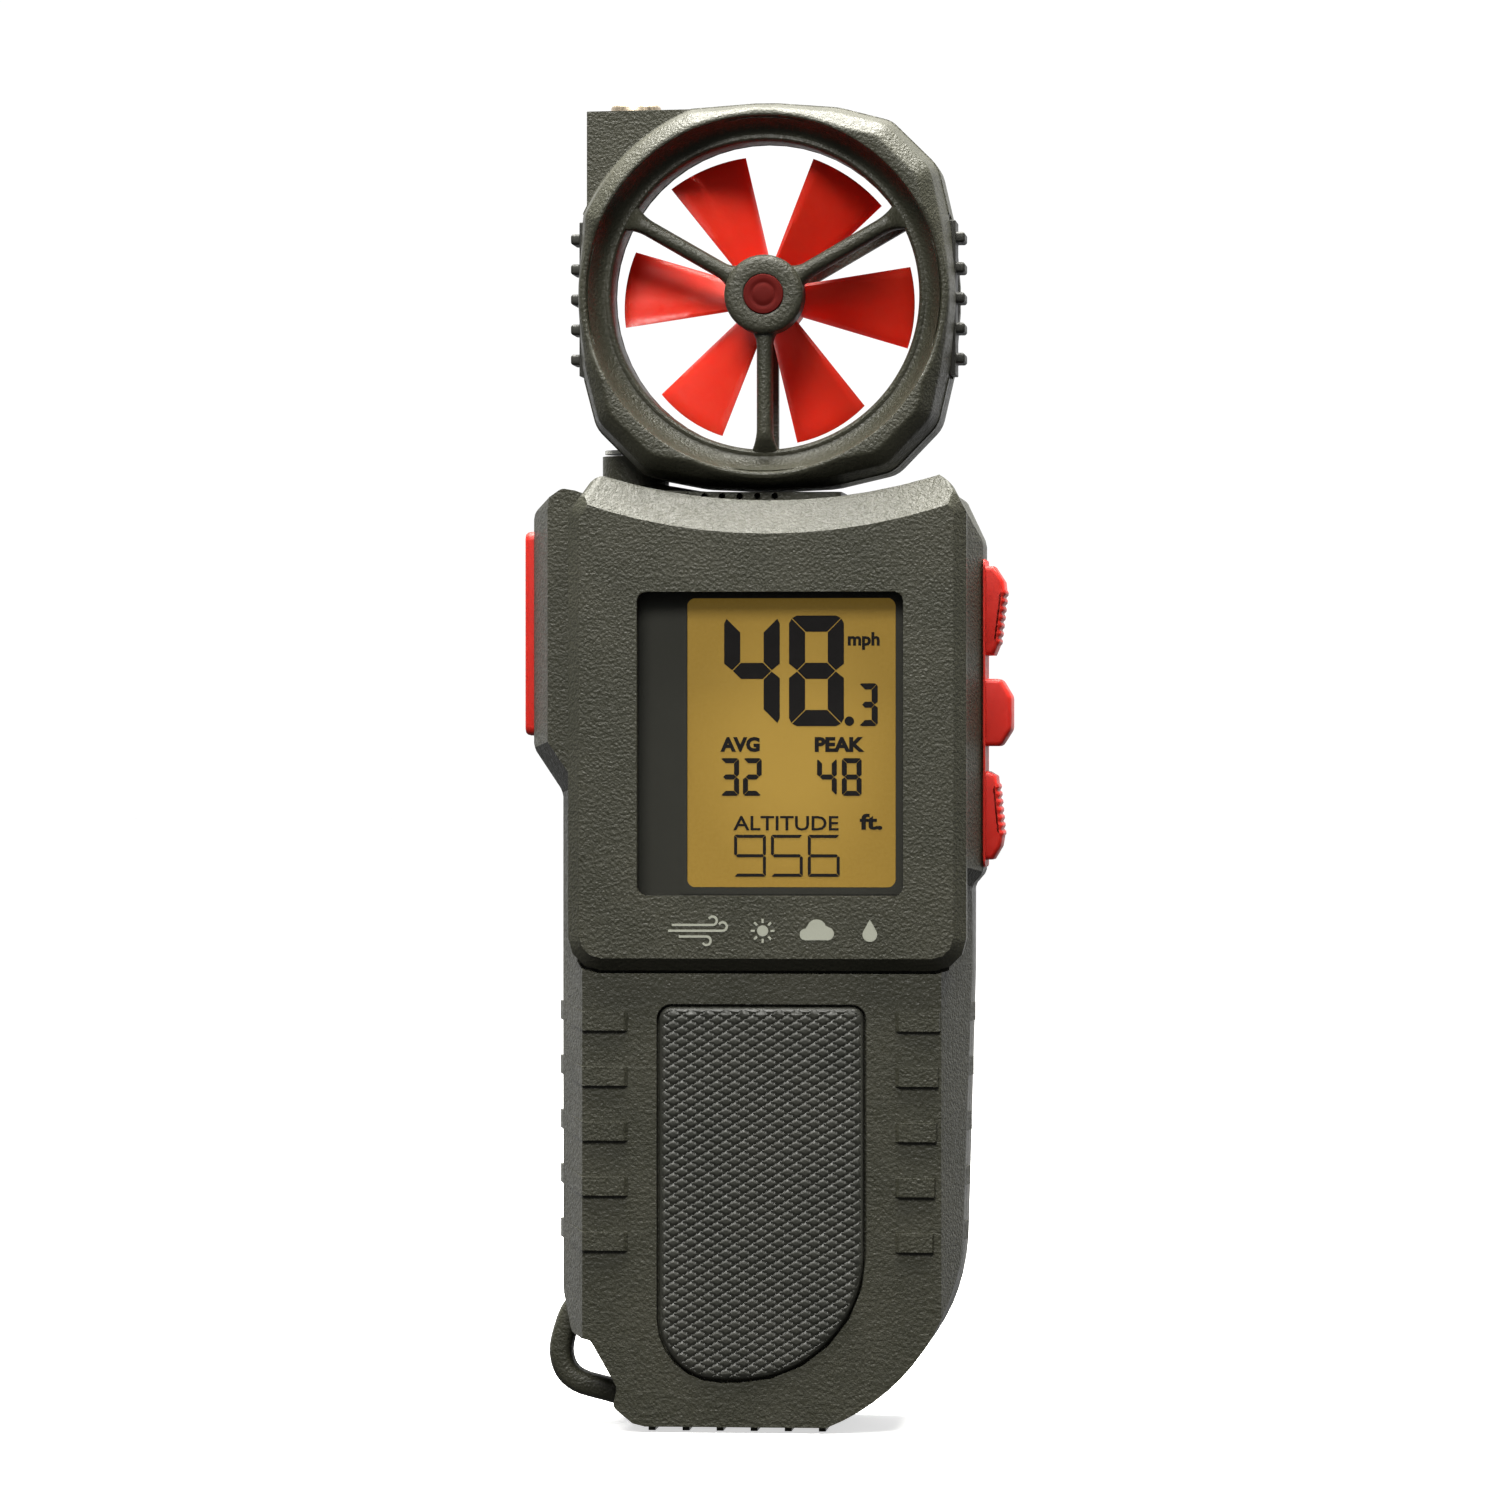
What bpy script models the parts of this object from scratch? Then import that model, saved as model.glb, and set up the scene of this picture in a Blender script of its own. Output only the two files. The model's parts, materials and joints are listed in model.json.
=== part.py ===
"""Handheld weather meter: a handle with a display, and a swinging head that carries a wind impeller.

Metres, +Z up. The meter stands upright on the ribs under its handle, and the origin is the centre of that
footprint on the ground. The display faces -Y, the battery door +Y. Lengths in the tables and calls below are
millimetres, which the helpers turn into metres.
"""
import math

import bmesh
import bpy
from mathutils import Matrix

MM = 0.001
FIT = 0.3  # clearance between neighbouring pieces

# Depths of the handle, front to back.
PLATE_FRONT = -14.5
PLATE_BACK = -11.0
GRIP_FRONT = -13.0
STEP_FRONT = -10.7
CAVITY_FRONT = -8.9
CAVITY_BACK = 12.5
HANDLE_BACK = 14.5
FACET_WIDTH = 3.75
FACET_DEPTH = 9.6

# The sloping top edge of the display plate: its low point on the face, and how far it rises to the plate's back.
SLOPE_LOW = 116.6
SLOPE_RISE = 4.4
PLATE_MIDDLE = 1.0

# The head: a ring about the hub, split into a front and a rear shell.
HUB_Z = 147.9
HEAD_FRONT = -11.5
HEAD_SPLIT = -1.0
HEAD_BACK = 7.0
APERTURE = 20.1
BEZEL_RADIUS = 23.2
HUB_RADIUS = 5.17
SPOKE_ANGLES = (30, 150, 270)

# The impeller.
BLADES = 6
BLADE_PHASE = -4.0
TIP_RADIUS = 19.1
TIP_SPAN = 31.5
ROOT_RADIUS = 4.4
ROOT_CHORD = 4.0
IMPELLER_HUB = 4.6

# The head's vertical pivot.
PIVOT_X = -18.0
PIVOT_Y = 3.0
PIN_RADIUS = 2.0
PIN_TOP = 132.5
BOSS_RADIUS = 4.4
BOSS_TOP = 127.3
KNUCKLE_BOTTOM = 128.4

# The sensor's cap on the head's square corner.
CAP_RADIUS = 3.3
CAP_Y = 3.3

# Keys on the right, and the long button on the left.
KEY_DEPTH = 4.0
FLANGE_DEPTH = 5.4

PALETTE = {
    "shell": ((0.060, 0.060, 0.050), 0.55, 0.0),
    "plate": ((0.070, 0.070, 0.060), 0.50, 0.0),
    "red": ((0.60, 0.02, 0.01), 0.40, 0.0),
    "badge": ((0.30, 0.01, 0.01), 0.50, 0.0),
    "rubber": ((0.050, 0.052, 0.046), 0.60, 0.0),
    "lcd": ((0.38, 0.23, 0.05), 0.30, 0.0),
    "black": ((0.02, 0.02, 0.018), 0.40, 0.0),
    "glass": ((0.80, 0.82, 0.82), 0.05, 0.0),
    "board": ((0.02, 0.18, 0.07), 0.45, 0.0),
    "white": ((0.75, 0.75, 0.72), 0.40, 0.0),
    "steel": ((0.55, 0.55, 0.56), 0.30, 1.0),
    "brass": ((0.60, 0.45, 0.20), 0.30, 1.0),
    "tan": ((0.45, 0.38, 0.30), 0.35, 0.0),
    "battery": ((0.10, 0.16, 0.30), 0.35, 0.0),
}

for old in list(bpy.data.objects):
    bpy.data.objects.remove(old, do_unlink=True)

parts = bpy.data.collections.new("handheld_weather_meter")
cutters = bpy.data.collections.new("cutters")
bpy.context.scene.collection.children.link(parts)
bpy.context.scene.collection.children.link(cutters)


# ---------------------------------------------------------------- outlines

def arc(cx, cz, radius, start, end, steps):
    """Points along a circular arc, angles in degrees."""
    turn = [math.radians(start + (end - start) * i / steps) for i in range(steps + 1)]
    return [(cx + radius * math.cos(a), cz + radius * math.sin(a)) for a in turn]


def rounded(corners, step=30):
    """A closed outline from (x, z, radius) corners, each turned into an arc of that radius."""
    points = []
    count = len(corners)
    for i, corner in enumerate(corners):
        if len(corner) == 2 or corner[2] == 0:
            points.append((corner[0], corner[1]))
            continue
        x, z, radius = corner
        before = corners[i - 1]
        after = corners[(i + 1) % count]
        away_in = math.atan2(before[1] - z, before[0] - x)
        away_out = math.atan2(after[1] - z, after[0] - x)
        opening = (away_out - away_in + math.pi) % (2 * math.pi) - math.pi
        setback = radius / math.tan(abs(opening) / 2)
        turn = math.pi - abs(opening)
        steps = max(1, round(math.degrees(turn) / step))
        bisector = away_in + opening / 2
        reach = radius / math.sin(abs(opening) / 2)
        centre = (x + reach * math.cos(bisector), z + reach * math.sin(bisector))
        first = (x + setback * math.cos(away_in), z + setback * math.sin(away_in))
        begin = math.atan2(first[1] - centre[1], first[0] - centre[0])
        sweep = -math.copysign(turn, opening)
        for k in range(steps + 1):
            a = begin + sweep * k / steps
            points.append((centre[0] + radius * math.cos(a), centre[1] + radius * math.sin(a)))
    return points


def box_outline(x0, x1, z0, z1, radius=0.0):
    return rounded([(x0, z0, radius), (x1, z0, radius), (x1, z1, radius), (x0, z1, radius)])


def inset(outline, distance):
    """The outline moved inwards by a distance (outwards if negative), corner by corner."""
    area = sum(a[0] * b[1] - b[0] * a[1] for a, b in zip(outline, outline[1:] + outline[:1]))
    side = distance if area > 0 else -distance
    moved = []
    for before, here, after in zip(outline[-1:] + outline[:-1], outline, outline[1:] + outline[:1]):
        d1 = (here[0] - before[0], here[1] - before[1])
        d2 = (after[0] - here[0], after[1] - here[1])
        l1 = math.hypot(*d1)
        l2 = math.hypot(*d2)
        n1 = (-d1[1] / l1, d1[0] / l1)
        n2 = (-d2[1] / l2, d2[0] / l2)
        stretch = 1 + n1[0] * n2[0] + n1[1] * n2[1]
        moved.append((here[0] + side * (n1[0] + n2[0]) / stretch, here[1] + side * (n1[1] + n2[1]) / stretch))
    return moved


# ---------------------------------------------------------------- solids

def material(name):
    if name in bpy.data.materials:
        return bpy.data.materials[name]
    colour, roughness, metallic = PALETTE[name]
    made = bpy.data.materials.new(name)
    made.use_nodes = True
    shader = made.node_tree.nodes["Principled BSDF"]
    shader.inputs["Base Color"].default_value = (*colour, 1.0)
    shader.inputs["Roughness"].default_value = roughness
    shader.inputs["Metallic"].default_value = metallic
    if name == "glass":
        shader.inputs["Transmission Weight"].default_value = 0.9
    return made


def add_object(name, mesh, colour, collection=None):
    made = bpy.data.objects.new(name, mesh)
    (collection or parts).objects.link(made)
    if colour:
        mesh.materials.clear()
        mesh.materials.append(material(colour))
    return made


def as_cutter(made):
    made.hide_render = True
    made.display_type = "WIRE"
    return made


def face_outwards(shape):
    """Turns a closed shape's faces the right way round."""
    if shape.calc_volume(signed=True) < 0:
        bmesh.ops.reverse_faces(shape, faces=shape.faces)


def slab(name, outline, front, back, colour=None, plane="XZ", chamfer=None, chamfer_back=None, segments=1):
    """A flat outline given thickness: along Y for an XZ outline, Z for XY, X for YZ.

    chamfer is (width across, depth) on the low side, chamfer_back the same on the high side.
    """
    curve = bpy.data.curves.new(name, "CURVE")
    curve.dimensions = "2D"
    curve.fill_mode = "BOTH"
    curve.extrude = (back - front) / 2 * MM
    spline = curve.splines.new("POLY")
    spline.points.add(len(outline) - 1)
    for point, (u, v) in zip(spline.points, outline):
        point.co = (u * MM, v * MM, 0, 1)
    spline.use_cyclic_u = True
    flat = bpy.data.objects.new(name + "_outline", curve)
    cutters.objects.link(flat)
    bpy.context.view_layer.update()
    solid = bpy.data.meshes.new_from_object(flat.evaluated_get(bpy.context.evaluated_depsgraph_get()))
    bpy.data.objects.remove(flat, do_unlink=True)
    shape = bmesh.new()
    shape.from_mesh(solid)
    bmesh.ops.remove_doubles(shape, verts=shape.verts, dist=1e-6)
    bmesh.ops.dissolve_limit(shape, angle_limit=0.001, verts=shape.verts, edges=shape.edges)
    half = (back - front) / 2 * MM
    for size, level in ((chamfer, -half), (chamfer_back, half)):
        if not size:
            continue
        width, depth = size
        bmesh.ops.scale(shape, vec=(1, 1, width / depth), verts=shape.verts)
        level *= width / depth
        rim = [e for e in shape.edges if all(abs(v.co.z - level) < 1e-7 for v in e.verts)]
        bmesh.ops.bevel(shape, geom=rim, offset=width * MM, segments=segments, affect="EDGES", profile=0.5,
                        clamp_overlap=False)
        bmesh.ops.scale(shape, vec=(1, 1, depth / width), verts=shape.verts)
    # The curve's own axes are (u, v, w): w is the thickness.
    facing = {
        "XZ": Matrix(((1, 0, 0), (0, 0, 1), (0, 1, 0))),
        "XY": Matrix(((1, 0, 0), (0, 1, 0), (0, 0, 1))),
        "YZ": Matrix(((0, 0, 1), (1, 0, 0), (0, 1, 0))),
    }[plane]
    middle = (front + back) / 2 * MM
    shift = {"XZ": (0, middle, 0), "XY": (0, 0, middle), "YZ": (middle, 0, 0)}[plane]
    shape.transform(Matrix.Translation(shift) @ facing.to_4x4())
    face_outwards(shape)
    shape.to_mesh(solid)
    shape.free()
    return add_object(name, solid, colour, None if colour else cutters)


def block(name, x, y, z, colour=None, bevel=0.0):
    """A box between x, y and z limits."""
    shape = bmesh.new()
    bmesh.ops.create_cube(shape, size=1.0)
    for vert in shape.verts:
        for axis, (low, high) in enumerate((x, y, z)):
            vert.co[axis] = (low if vert.co[axis] < 0 else high) * MM
    if bevel:
        bmesh.ops.bevel(shape, geom=shape.edges, offset=bevel * MM, segments=1, affect="EDGES", profile=0.5)
    mesh = bpy.data.meshes.new(name)
    shape.to_mesh(mesh)
    shape.free()
    return add_object(name, mesh, colour, None if colour else cutters)


def turned(name, profile, centre, axis="Y", colour=None, steps=32):
    """A closed (radius, height) profile turned about an axis through the centre.

    The profile runs down the outer side from the highest height to the lowest, and back up the inner side.
    """
    shape = bmesh.new()
    verts = [shape.verts.new((radius * MM, 0, height * MM)) for radius, height in profile]
    on_axis = profile[0][0] == 0 and profile[-1][0] == 0
    for a, b in zip(verts, verts[1:]):
        shape.edges.new((a, b))
    if not on_axis:
        shape.edges.new((verts[-1], verts[0]))
    mesh = bpy.data.meshes.new(name)
    shape.to_mesh(mesh)
    shape.free()
    made = add_object(name, mesh, colour, None if colour else cutters)
    screw = made.modifiers.new("turn", "SCREW")
    screw.axis = "Z"
    screw.steps = steps
    screw.render_steps = steps
    screw.use_merge_vertices = True
    screw.merge_threshold = 1e-6
    screw.use_smooth_shade = True
    turn = {"Y": Matrix.Rotation(math.radians(90), 4, "X"), "Z": Matrix.Identity(4)}[axis]
    made.matrix_world = Matrix.Translation([c * MM for c in centre]) @ turn
    bake(made)
    return made


def rod(name, radius, start, length, centre, axis="Y", colour=None, steps=24):
    """A plain cylinder from start to start + length along Y or Z, about the centre's other two coordinates."""
    shape = bmesh.new()
    bmesh.ops.create_cone(shape, cap_ends=True, segments=steps, radius1=radius * MM, radius2=radius * MM,
                          depth=length * MM)
    middle = start + length / 2
    if axis == "Y":
        place = Matrix.Translation((centre[0] * MM, middle * MM, centre[1] * MM))
        shape.transform(place @ Matrix.Rotation(math.radians(90), 4, "X"))
    else:
        shape.transform(Matrix.Translation((centre[0] * MM, centre[1] * MM, middle * MM)))
    mesh = bpy.data.meshes.new(name)
    shape.to_mesh(mesh)
    shape.free()
    return add_object(name, mesh, colour, None if colour else cutters)


def bake(made):
    """Turns an object's modifiers and placing into its mesh."""
    bpy.context.view_layer.update()
    solid = bpy.data.meshes.new_from_object(made.evaluated_get(bpy.context.evaluated_depsgraph_get()))
    solid.transform(made.matrix_world)
    made.modifiers.clear()
    made.data = solid
    made.matrix_world = Matrix.Identity(4)


def combine(target, tools, operation):
    """Cuts the tools out of the target, or joins them to it."""
    for tool in tools:
        as_cutter(tool)
        step = target.modifiers.new(operation.lower(), "BOOLEAN")
        step.object = tool
        step.operation = operation
        step.solver = "EXACT"
    bake(target)


def cut(target, *tools):
    combine(target, tools, "DIFFERENCE")


def join(target, *tools):
    combine(target, tools, "UNION")


def set_pivot(made, point):
    """Puts the object's origin on its joint's axis without moving its mesh."""
    place = Matrix.Translation([c * MM for c in point])
    made.data.transform(place.inverted())
    made.matrix_world = place


def finish_shading():
    for made in parts.objects:
        made.data.shade_smooth()
        made.data.set_sharp_from_angle(angle=math.radians(35))


# ---------------------------------------------------------------- handle outlines

HANDLE = rounded([
    (-26.85, 17.8, 3), (-26.85, 83.1, 2), (-30.7, 88.9, 2), (-30.7, 119.6, 1.5), (-26.3, 122.7, 1),
    (-24.0, 122.3, 0.8), (-23.2, 118.8), (23.2, 118.8), (24.0, 122.6, 0.8), (25.4, 121.4, 1),
    (28.3, 115.8, 2), (28.3, 72.6, 1), (26.85, 70.9, 1), (26.85, 60),
    *arc(-1.6, 26.3, 27.4, 0, -68.6, 14),
    (-15.2, 0.8), (-16.8, 1.2), (-19.4, 3.3, 0.8), (-18.8, 5.8, 0.8), (-22.3, 11.9, 0.8), (-25.3, 12.6, 1),
])
# A straight-sided outline whose edges carry the broad facets of the front and the back. They run out at the
# curved heel.
FACETED = [
    (-27.1, -6), (-27.1, 83.0), (-31.0, 88.8), (-31.0, 119.9), (-27.7, 145), (26.7, 145), (28.6, 115.8),
    (28.6, 72.6), (27.1, 70.7), (27.1, -6),
]
# A plain version of it, inside which the handle is hollow.
HOLLOW = [
    (-23.2, 13.5), (-23.2, 84.3), (-27.1, 90.1), (-27.1, 116.0), (-24.5, 115.2), (22.5, 115.2), (24.7, 113.5),
    (24.7, 74.1), (23.2, 72.2), (23.2, 26), (21.3, 17.5), (15.9, 10.2), (7.5, 4.9), (-14.8, 4.6), (-15.2, 6.7),
]
PLATE = rounded([
    (-25.2, 119.0),
    *arc(PLATE_MIDDLE, 121.0 + 60.3, 60.3, 270 - 21.9, 270 + 20.6, 12),
    (24.6, 123.2), (26.6, 119.4), (26.6, 60.0, 4.3), (-25.2, 60.0, 4.3),
])
PAD = rounded([(-13.3, 55.3, 1.6), (13.3, 55.3, 1.6), (13.3, 6.9, 16.4), (-13.3, 6.9, 7.8)], step=15)
WINDOW = (-16.1, 18.5, 69.7, 109.1)
LCD = (-10.1, 17.6, 70.5, 108.6)
DOOR = (-14.0, 14.0, 11.0, 60.0)
KEYS = {
    "key_top": [(29.6, 112.7), (31.2, 110.4), (30.1, 101.5), (28.9, 100.9)],
    "key_middle": [(30.6, 97.9), (32.0, 95.6), (32.0, 91.3), (30.6, 89.1)],
    "key_bottom": [(28.9, 85.9), (30.1, 85.3), (31.0, 76.4), (29.6, 74.1)],
}
SIDE_BUTTON = (90.5, 117.3)
CASE_SCREWS = [(-20.2, 111.5), (20.2, 111.5), (-19.6, 63.5), (19.6, 63.5)]
BOSS_SIZE = 2.2
HEAD_SCREWS = [(18.1, 18.1), (18.1, -18.1), (-11.8, -21.4)]


def window_box(name, margin, front, back, colour=None, radius=1.2, limits=WINDOW):
    x0, x1, z0, z1 = limits
    outline = box_outline(x0 - margin, x1 + margin, z0 - margin, z1 + margin, radius)
    return slab(name, outline, front, back, colour)


# ---------------------------------------------------------------- handle

def grip_ribs(name, side):
    """Five ribs that run across the front face and wrap round one side, rising as they go round."""
    face = [(17.4, -12.0), (17.4, -13.1), (17.9, -13.5), (23.3, -13.5), (23.3, -12.0)]
    wrap = [(23.0, -12.2), (23.0, -13.5), (23.3, -13.5), (27.35, -2.6), (27.35, -1.4), (26.2, -1.4)]
    ribs = []
    for i in range(5):
        middle = 53.4 - 7.14 * i
        # The right side of the grip draws in a little towards the base.
        draw_in = (60.0 - middle) * 0.031 if side > 0 else 0.0
        low, high = middle - 1.2, middle + 1.2
        front = [(side * min(x, 23.3 - draw_in), y) for x, y in face]
        round_side = [(side * (x - draw_in), y) for x, y in wrap]
        ribs.append(slab(f"{name}_face_{i}", front, low, high, plane="XY"))
        rib = slab(f"{name}_side_{i}", round_side, low, high, plane="XY")
        for vert in rib.data.vertices:
            vert.co.z += (abs(vert.co.x) - (23.2 - draw_in) * MM) * 0.27
        ribs.append(rib)
    return ribs


def foot_ribs(name, front, back):
    """The six small ribs that the handle stands on."""
    return [
        block(f"{name}_{i}", (x - 0.45, x + 0.45), (front, back), (0, 1.5))
        for i, x in enumerate(-14.6 + 4.45 * i for i in range(6))
    ]


def key_slots():
    slots = []
    for name, nose in KEYS.items():
        high = max(z for _, z in nose) + FIT
        low = min(z for _, z in nose) - FIT
        slots.append(block(name + "_slot", (22, 33), (-KEY_DEPTH - FIT, KEY_DEPTH + FIT), (low, high)))
    low, high = SIDE_BUTTON
    slots.append(block("side_slot", (-34, -25), (-3.5 - FIT, 3.5 + FIT), (low - FIT, high + FIT)))
    return slots


def loop_outline(grow=0.0):
    outer = [(-25.0, 15.9), (-27.0, 16.0), (-28.9, 9.3), (-25.4, 4.2), (-18.4, 2.7)]
    inner = [(-17.6, 5.2), (-24.2, 7.6), (-25.9, 9.8), (-24.4, 13.9)]
    outline = rounded([(x, z, 0.8) for x, z in outer + inner])
    return inset(outline, -grow) if grow else outline


def front_shell():
    shell = slab("front_shell", HANDLE, GRIP_FRONT - 1, -0.15, "shell")
    facets = slab("front_facets", FACETED, GRIP_FRONT, 5, chamfer=(FACET_WIDTH, FACET_DEPTH))
    combine(shell, [facets], "INTERSECT")
    step = rounded([
        (-25.6, 59.6, 4.4), (27.0, 59.6, 4.4), (27.0, 66, 0), (40, 66, 0), (40, 140, 0), (-40, 140, 0),
        (-40, 66, 0), (-25.6, 66, 0),
    ])
    bosses = [rod(f"front_boss_{i}", BOSS_SIZE, -9.1, 8.8, at, steps=12) for i, at in enumerate(CASE_SCREWS)]
    cut(
        shell,
        slab("step_cut", step, -25, STEP_FRONT),
        slab("front_hollow", HOLLOW, CAVITY_FRONT, 3),
    )
    join(shell, *grip_ribs("rib_left", -1), *grip_ribs("rib_right", 1), *foot_ribs("front_foot", -9.5, -0.6),
         *bosses)
    cut(
        shell,
        slab("pad_recess", inset(PAD, -0.35), -20, -11.7),
        window_box("display_opening", 1.2, -12, -8),
        slab("front_loop_notch", loop_outline(FIT), -2.8, 2.8),
        *key_slots(),
        *[rod(f"front_thread_{i}", 1.0, -7.4, 9.0, at, steps=10) for i, at in enumerate(CASE_SCREWS)],
    )
    return shell


def rear_shell():
    shell = slab("rear_shell", HANDLE, 0.15, HANDLE_BACK + 1, "shell")
    facets = slab("rear_facets", FACETED, -5, HANDLE_BACK, chamfer_back=(FACET_WIDTH, FACET_DEPTH))
    combine(shell, [facets], "INTERSECT")
    cut(shell, slab("rear_hollow", HOLLOW, -3, CAVITY_BACK))
    bosses = [rod(f"rear_boss_{i}", BOSS_SIZE, 0.35, 12.4, at, steps=12) for i, at in enumerate(CASE_SCREWS)]
    join(shell, *foot_ribs("rear_foot", 0.6, 10.5), *bosses)
    x0, x1, z0, z1 = DOOR
    cut(
        shell,
        slab("door_opening", box_outline(x0 - FIT, x1 + FIT, z0 - FIT, z1 + FIT, 1.5), 12, 16),
        slab("rear_loop_notch", loop_outline(FIT), -2.8, 2.8),
        rod("pin_hole", PIN_RADIUS + FIT, 110, 12, (PIVOT_X, PIVOT_Y), axis="Z"),
        *key_slots(),
        *[rod(f"rear_hole_{i}", 1.0, -1, 14.0, at, steps=10) for i, at in enumerate(CASE_SCREWS)],
        *[rod(f"rear_sink_{i}", 2.1, 11.4, 5.0, at, steps=16) for i, at in enumerate(CASE_SCREWS)],
    )
    return shell


def display_plate():
    """The raised plate round the display, whose hollowed top edge slopes back from the face."""
    plate = slab("display_bezel", PLATE, PLATE_FRONT, PLATE_BACK, "plate", chamfer=(1.6, 1.6))
    slope = slab("plate_slope", [(30, 140), (-30, 140), *arc(PLATE_MIDDLE, SLOPE_LOW + 75.0, 75.0, 247, 293, 14)], -20, -10)
    for vert in slope.data.vertices:
        vert.co.z += (vert.co.y - PLATE_FRONT * MM) * SLOPE_RISE / (PLATE_BACK - PLATE_FRONT)
    cut(
        plate,
        slope,
        window_box("window_opening", 0.0, -20, -5),
        window_box("window_seat", 2.3, -13.1, -5, radius=1.5),
    )
    return plate


def display_stack():
    window_box("display_window", 2.0, -12.8, -11.8, "glass", radius=1.2)
    frame = window_box("lcd_frame", 0.9, -11.4, -9.4, "black")
    cut(frame, window_box("frame_opening", 0.0, -15, -5, radius=0, limits=LCD))
    window_box("lcd_panel", -FIT, -11.2, -9.4, "lcd", radius=0, limits=LCD)
    window_box("backlight_panel", -FIT, -9.1, -7.6, "white", radius=0, limits=LCD)
    slab("main_board", box_outline(-22.0, 22.4, 66.6, 109.0, 1), -7.2, -5.6, "board")
    block("processor_chip", (-5, 5), (-5.3, -3.9), (84, 94), "black", bevel=0.25)
    rod("pressure_sensor", 2.4, -5.3, 2.0, (-12, 76), colour="steel", steps=20)
    for name, nose in KEYS.items():
        middle = sum(z for _, z in nose) / len(nose)
        block(name.replace("key", "switch"), (18.6, 22.6), (-5.3, -1.6), (middle - 2.2, middle + 2.2), "black",
              bevel=0.2)
    middle = sum(SIDE_BUTTON) / 2
    block("switch_side", (-24.5, -20.8), (-5.3, -1.6), (middle - 2.2, middle + 2.2), "black", bevel=0.2)


def keys():
    for name, nose in KEYS.items():
        high = max(z for _, z in nose)
        low = min(z for _, z in nose)
        outline = [(24.2, low), (24.2, high)] + nose
        key = slab(name, outline, -KEY_DEPTH, KEY_DEPTH, "red", chamfer=(0.5, 0.5), chamfer_back=(0.5, 0.5))
        flange = block(name + "_flange", (23.4, 24.4), (-FLANGE_DEPTH, FLANGE_DEPTH), (low, high))
        join(key, flange)
        set_pivot(key, (28.6, 0, (low + high) / 2))
    web = slab("keypad_web", box_outline(-4.9, 4.9, 73.3, 113.5, 1), 28.6, 29.1, "red", plane="YZ")
    holes = []
    for name, nose in KEYS.items():
        high = max(z for _, z in nose) + FIT
        low = min(z for _, z in nose) - FIT
        holes.append(block(name + "_web_hole", (28, 30), (-KEY_DEPTH - FIT, KEY_DEPTH + FIT), (low, high)))
    cut(web, *holes)
    low, high = SIDE_BUTTON
    button = slab("side_button", box_outline(-3.5, 3.5, low, high, 0.6), -32.0, -26.6, "red", plane="YZ",
                  chamfer=(0.5, 0.4))
    flange = block("side_flange", (-26.8, -25.9), (-FLANGE_DEPTH, FLANGE_DEPTH), (low + 0.8, high - 2.0))
    middle = (low + high) / 2
    plunger = block("side_plunger", (-26.0, -25.3), (-4.6, -2.4), (middle - 1.5, middle + 1.5))
    join(button, flange, plunger)
    set_pivot(button, (-30.7, 0, middle))


def grip_pad():
    slab("grip_pad", PAD, -13.4, -12.0, "rubber", chamfer=(0.5, 0.4))


def power():
    for name, x in (("left", -5.7), ("right", 5.7)):
        battery = turned(
            f"battery_{name}",
            [(0, 44.5), (1.9, 44.5), (1.9, 43.5), (4.9, 43.5), (5.2, 43.1), (5.2, 0.3), (4.9, 0), (0, 0)],
            (x, 4.5, 11.2), axis="Z", colour="battery", steps=20)
        battery.data.materials.clear()
        battery.data.materials.append(material("battery"))
        block(f"contact_plate_{name}", (x - 4, x + 4), (0.5, 8.5), (56.2, 56.7), "brass")
        spring(f"contact_spring_{name}", (x, 4.5), 6.4, 10.9)
    x0, x1, z0, z1 = DOOR
    door = slab("battery_door", box_outline(x0, x1, z0, z1, 1.2), 12.8, HANDLE_BACK, "shell",
                chamfer_back=(0.3, 0.3))
    grooves = [block(f"thumb_groove_{i}", (-6, 6), (14.0, 16), (51 + 1.8 * i, 51.9 + 1.8 * i)) for i in range(4)]
    cut(door, *grooves)
    set_pivot(door, (0, HANDLE_BACK, z0))


def spring(name, centre, low, high):
    """A short conical battery spring."""
    curve = bpy.data.curves.new(name, "CURVE")
    curve.dimensions = "3D"
    curve.bevel_depth = 0.3 * MM
    curve.bevel_resolution = 0
    curve.use_fill_caps = True
    spline = curve.splines.new("POLY")
    turns = 3
    per_turn = 12
    count = turns * per_turn
    spline.points.add(count)
    for i, point in enumerate(spline.points):
        share = i / count
        radius = 3.6 - 1.6 * share
        angle = 2 * math.pi * turns * share
        height = low + 0.4 + (high - low - 0.8) * share
        point.co = (
            (centre[0] + radius * math.cos(angle)) * MM,
            (centre[1] + radius * math.sin(angle)) * MM,
            height * MM,
            1,
        )
    made = bpy.data.objects.new(name, curve)
    parts.objects.link(made)
    bpy.context.view_layer.update()
    solid = bpy.data.meshes.new_from_object(made.evaluated_get(bpy.context.evaluated_depsgraph_get()))
    bpy.data.objects.remove(made, do_unlink=True)
    shape = bmesh.new()
    shape.from_mesh(solid)
    bmesh.ops.remove_doubles(shape, verts=shape.verts, dist=1e-6)
    face_outwards(shape)
    shape.to_mesh(solid)
    shape.free()
    add_object(name, solid, "steel")


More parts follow.
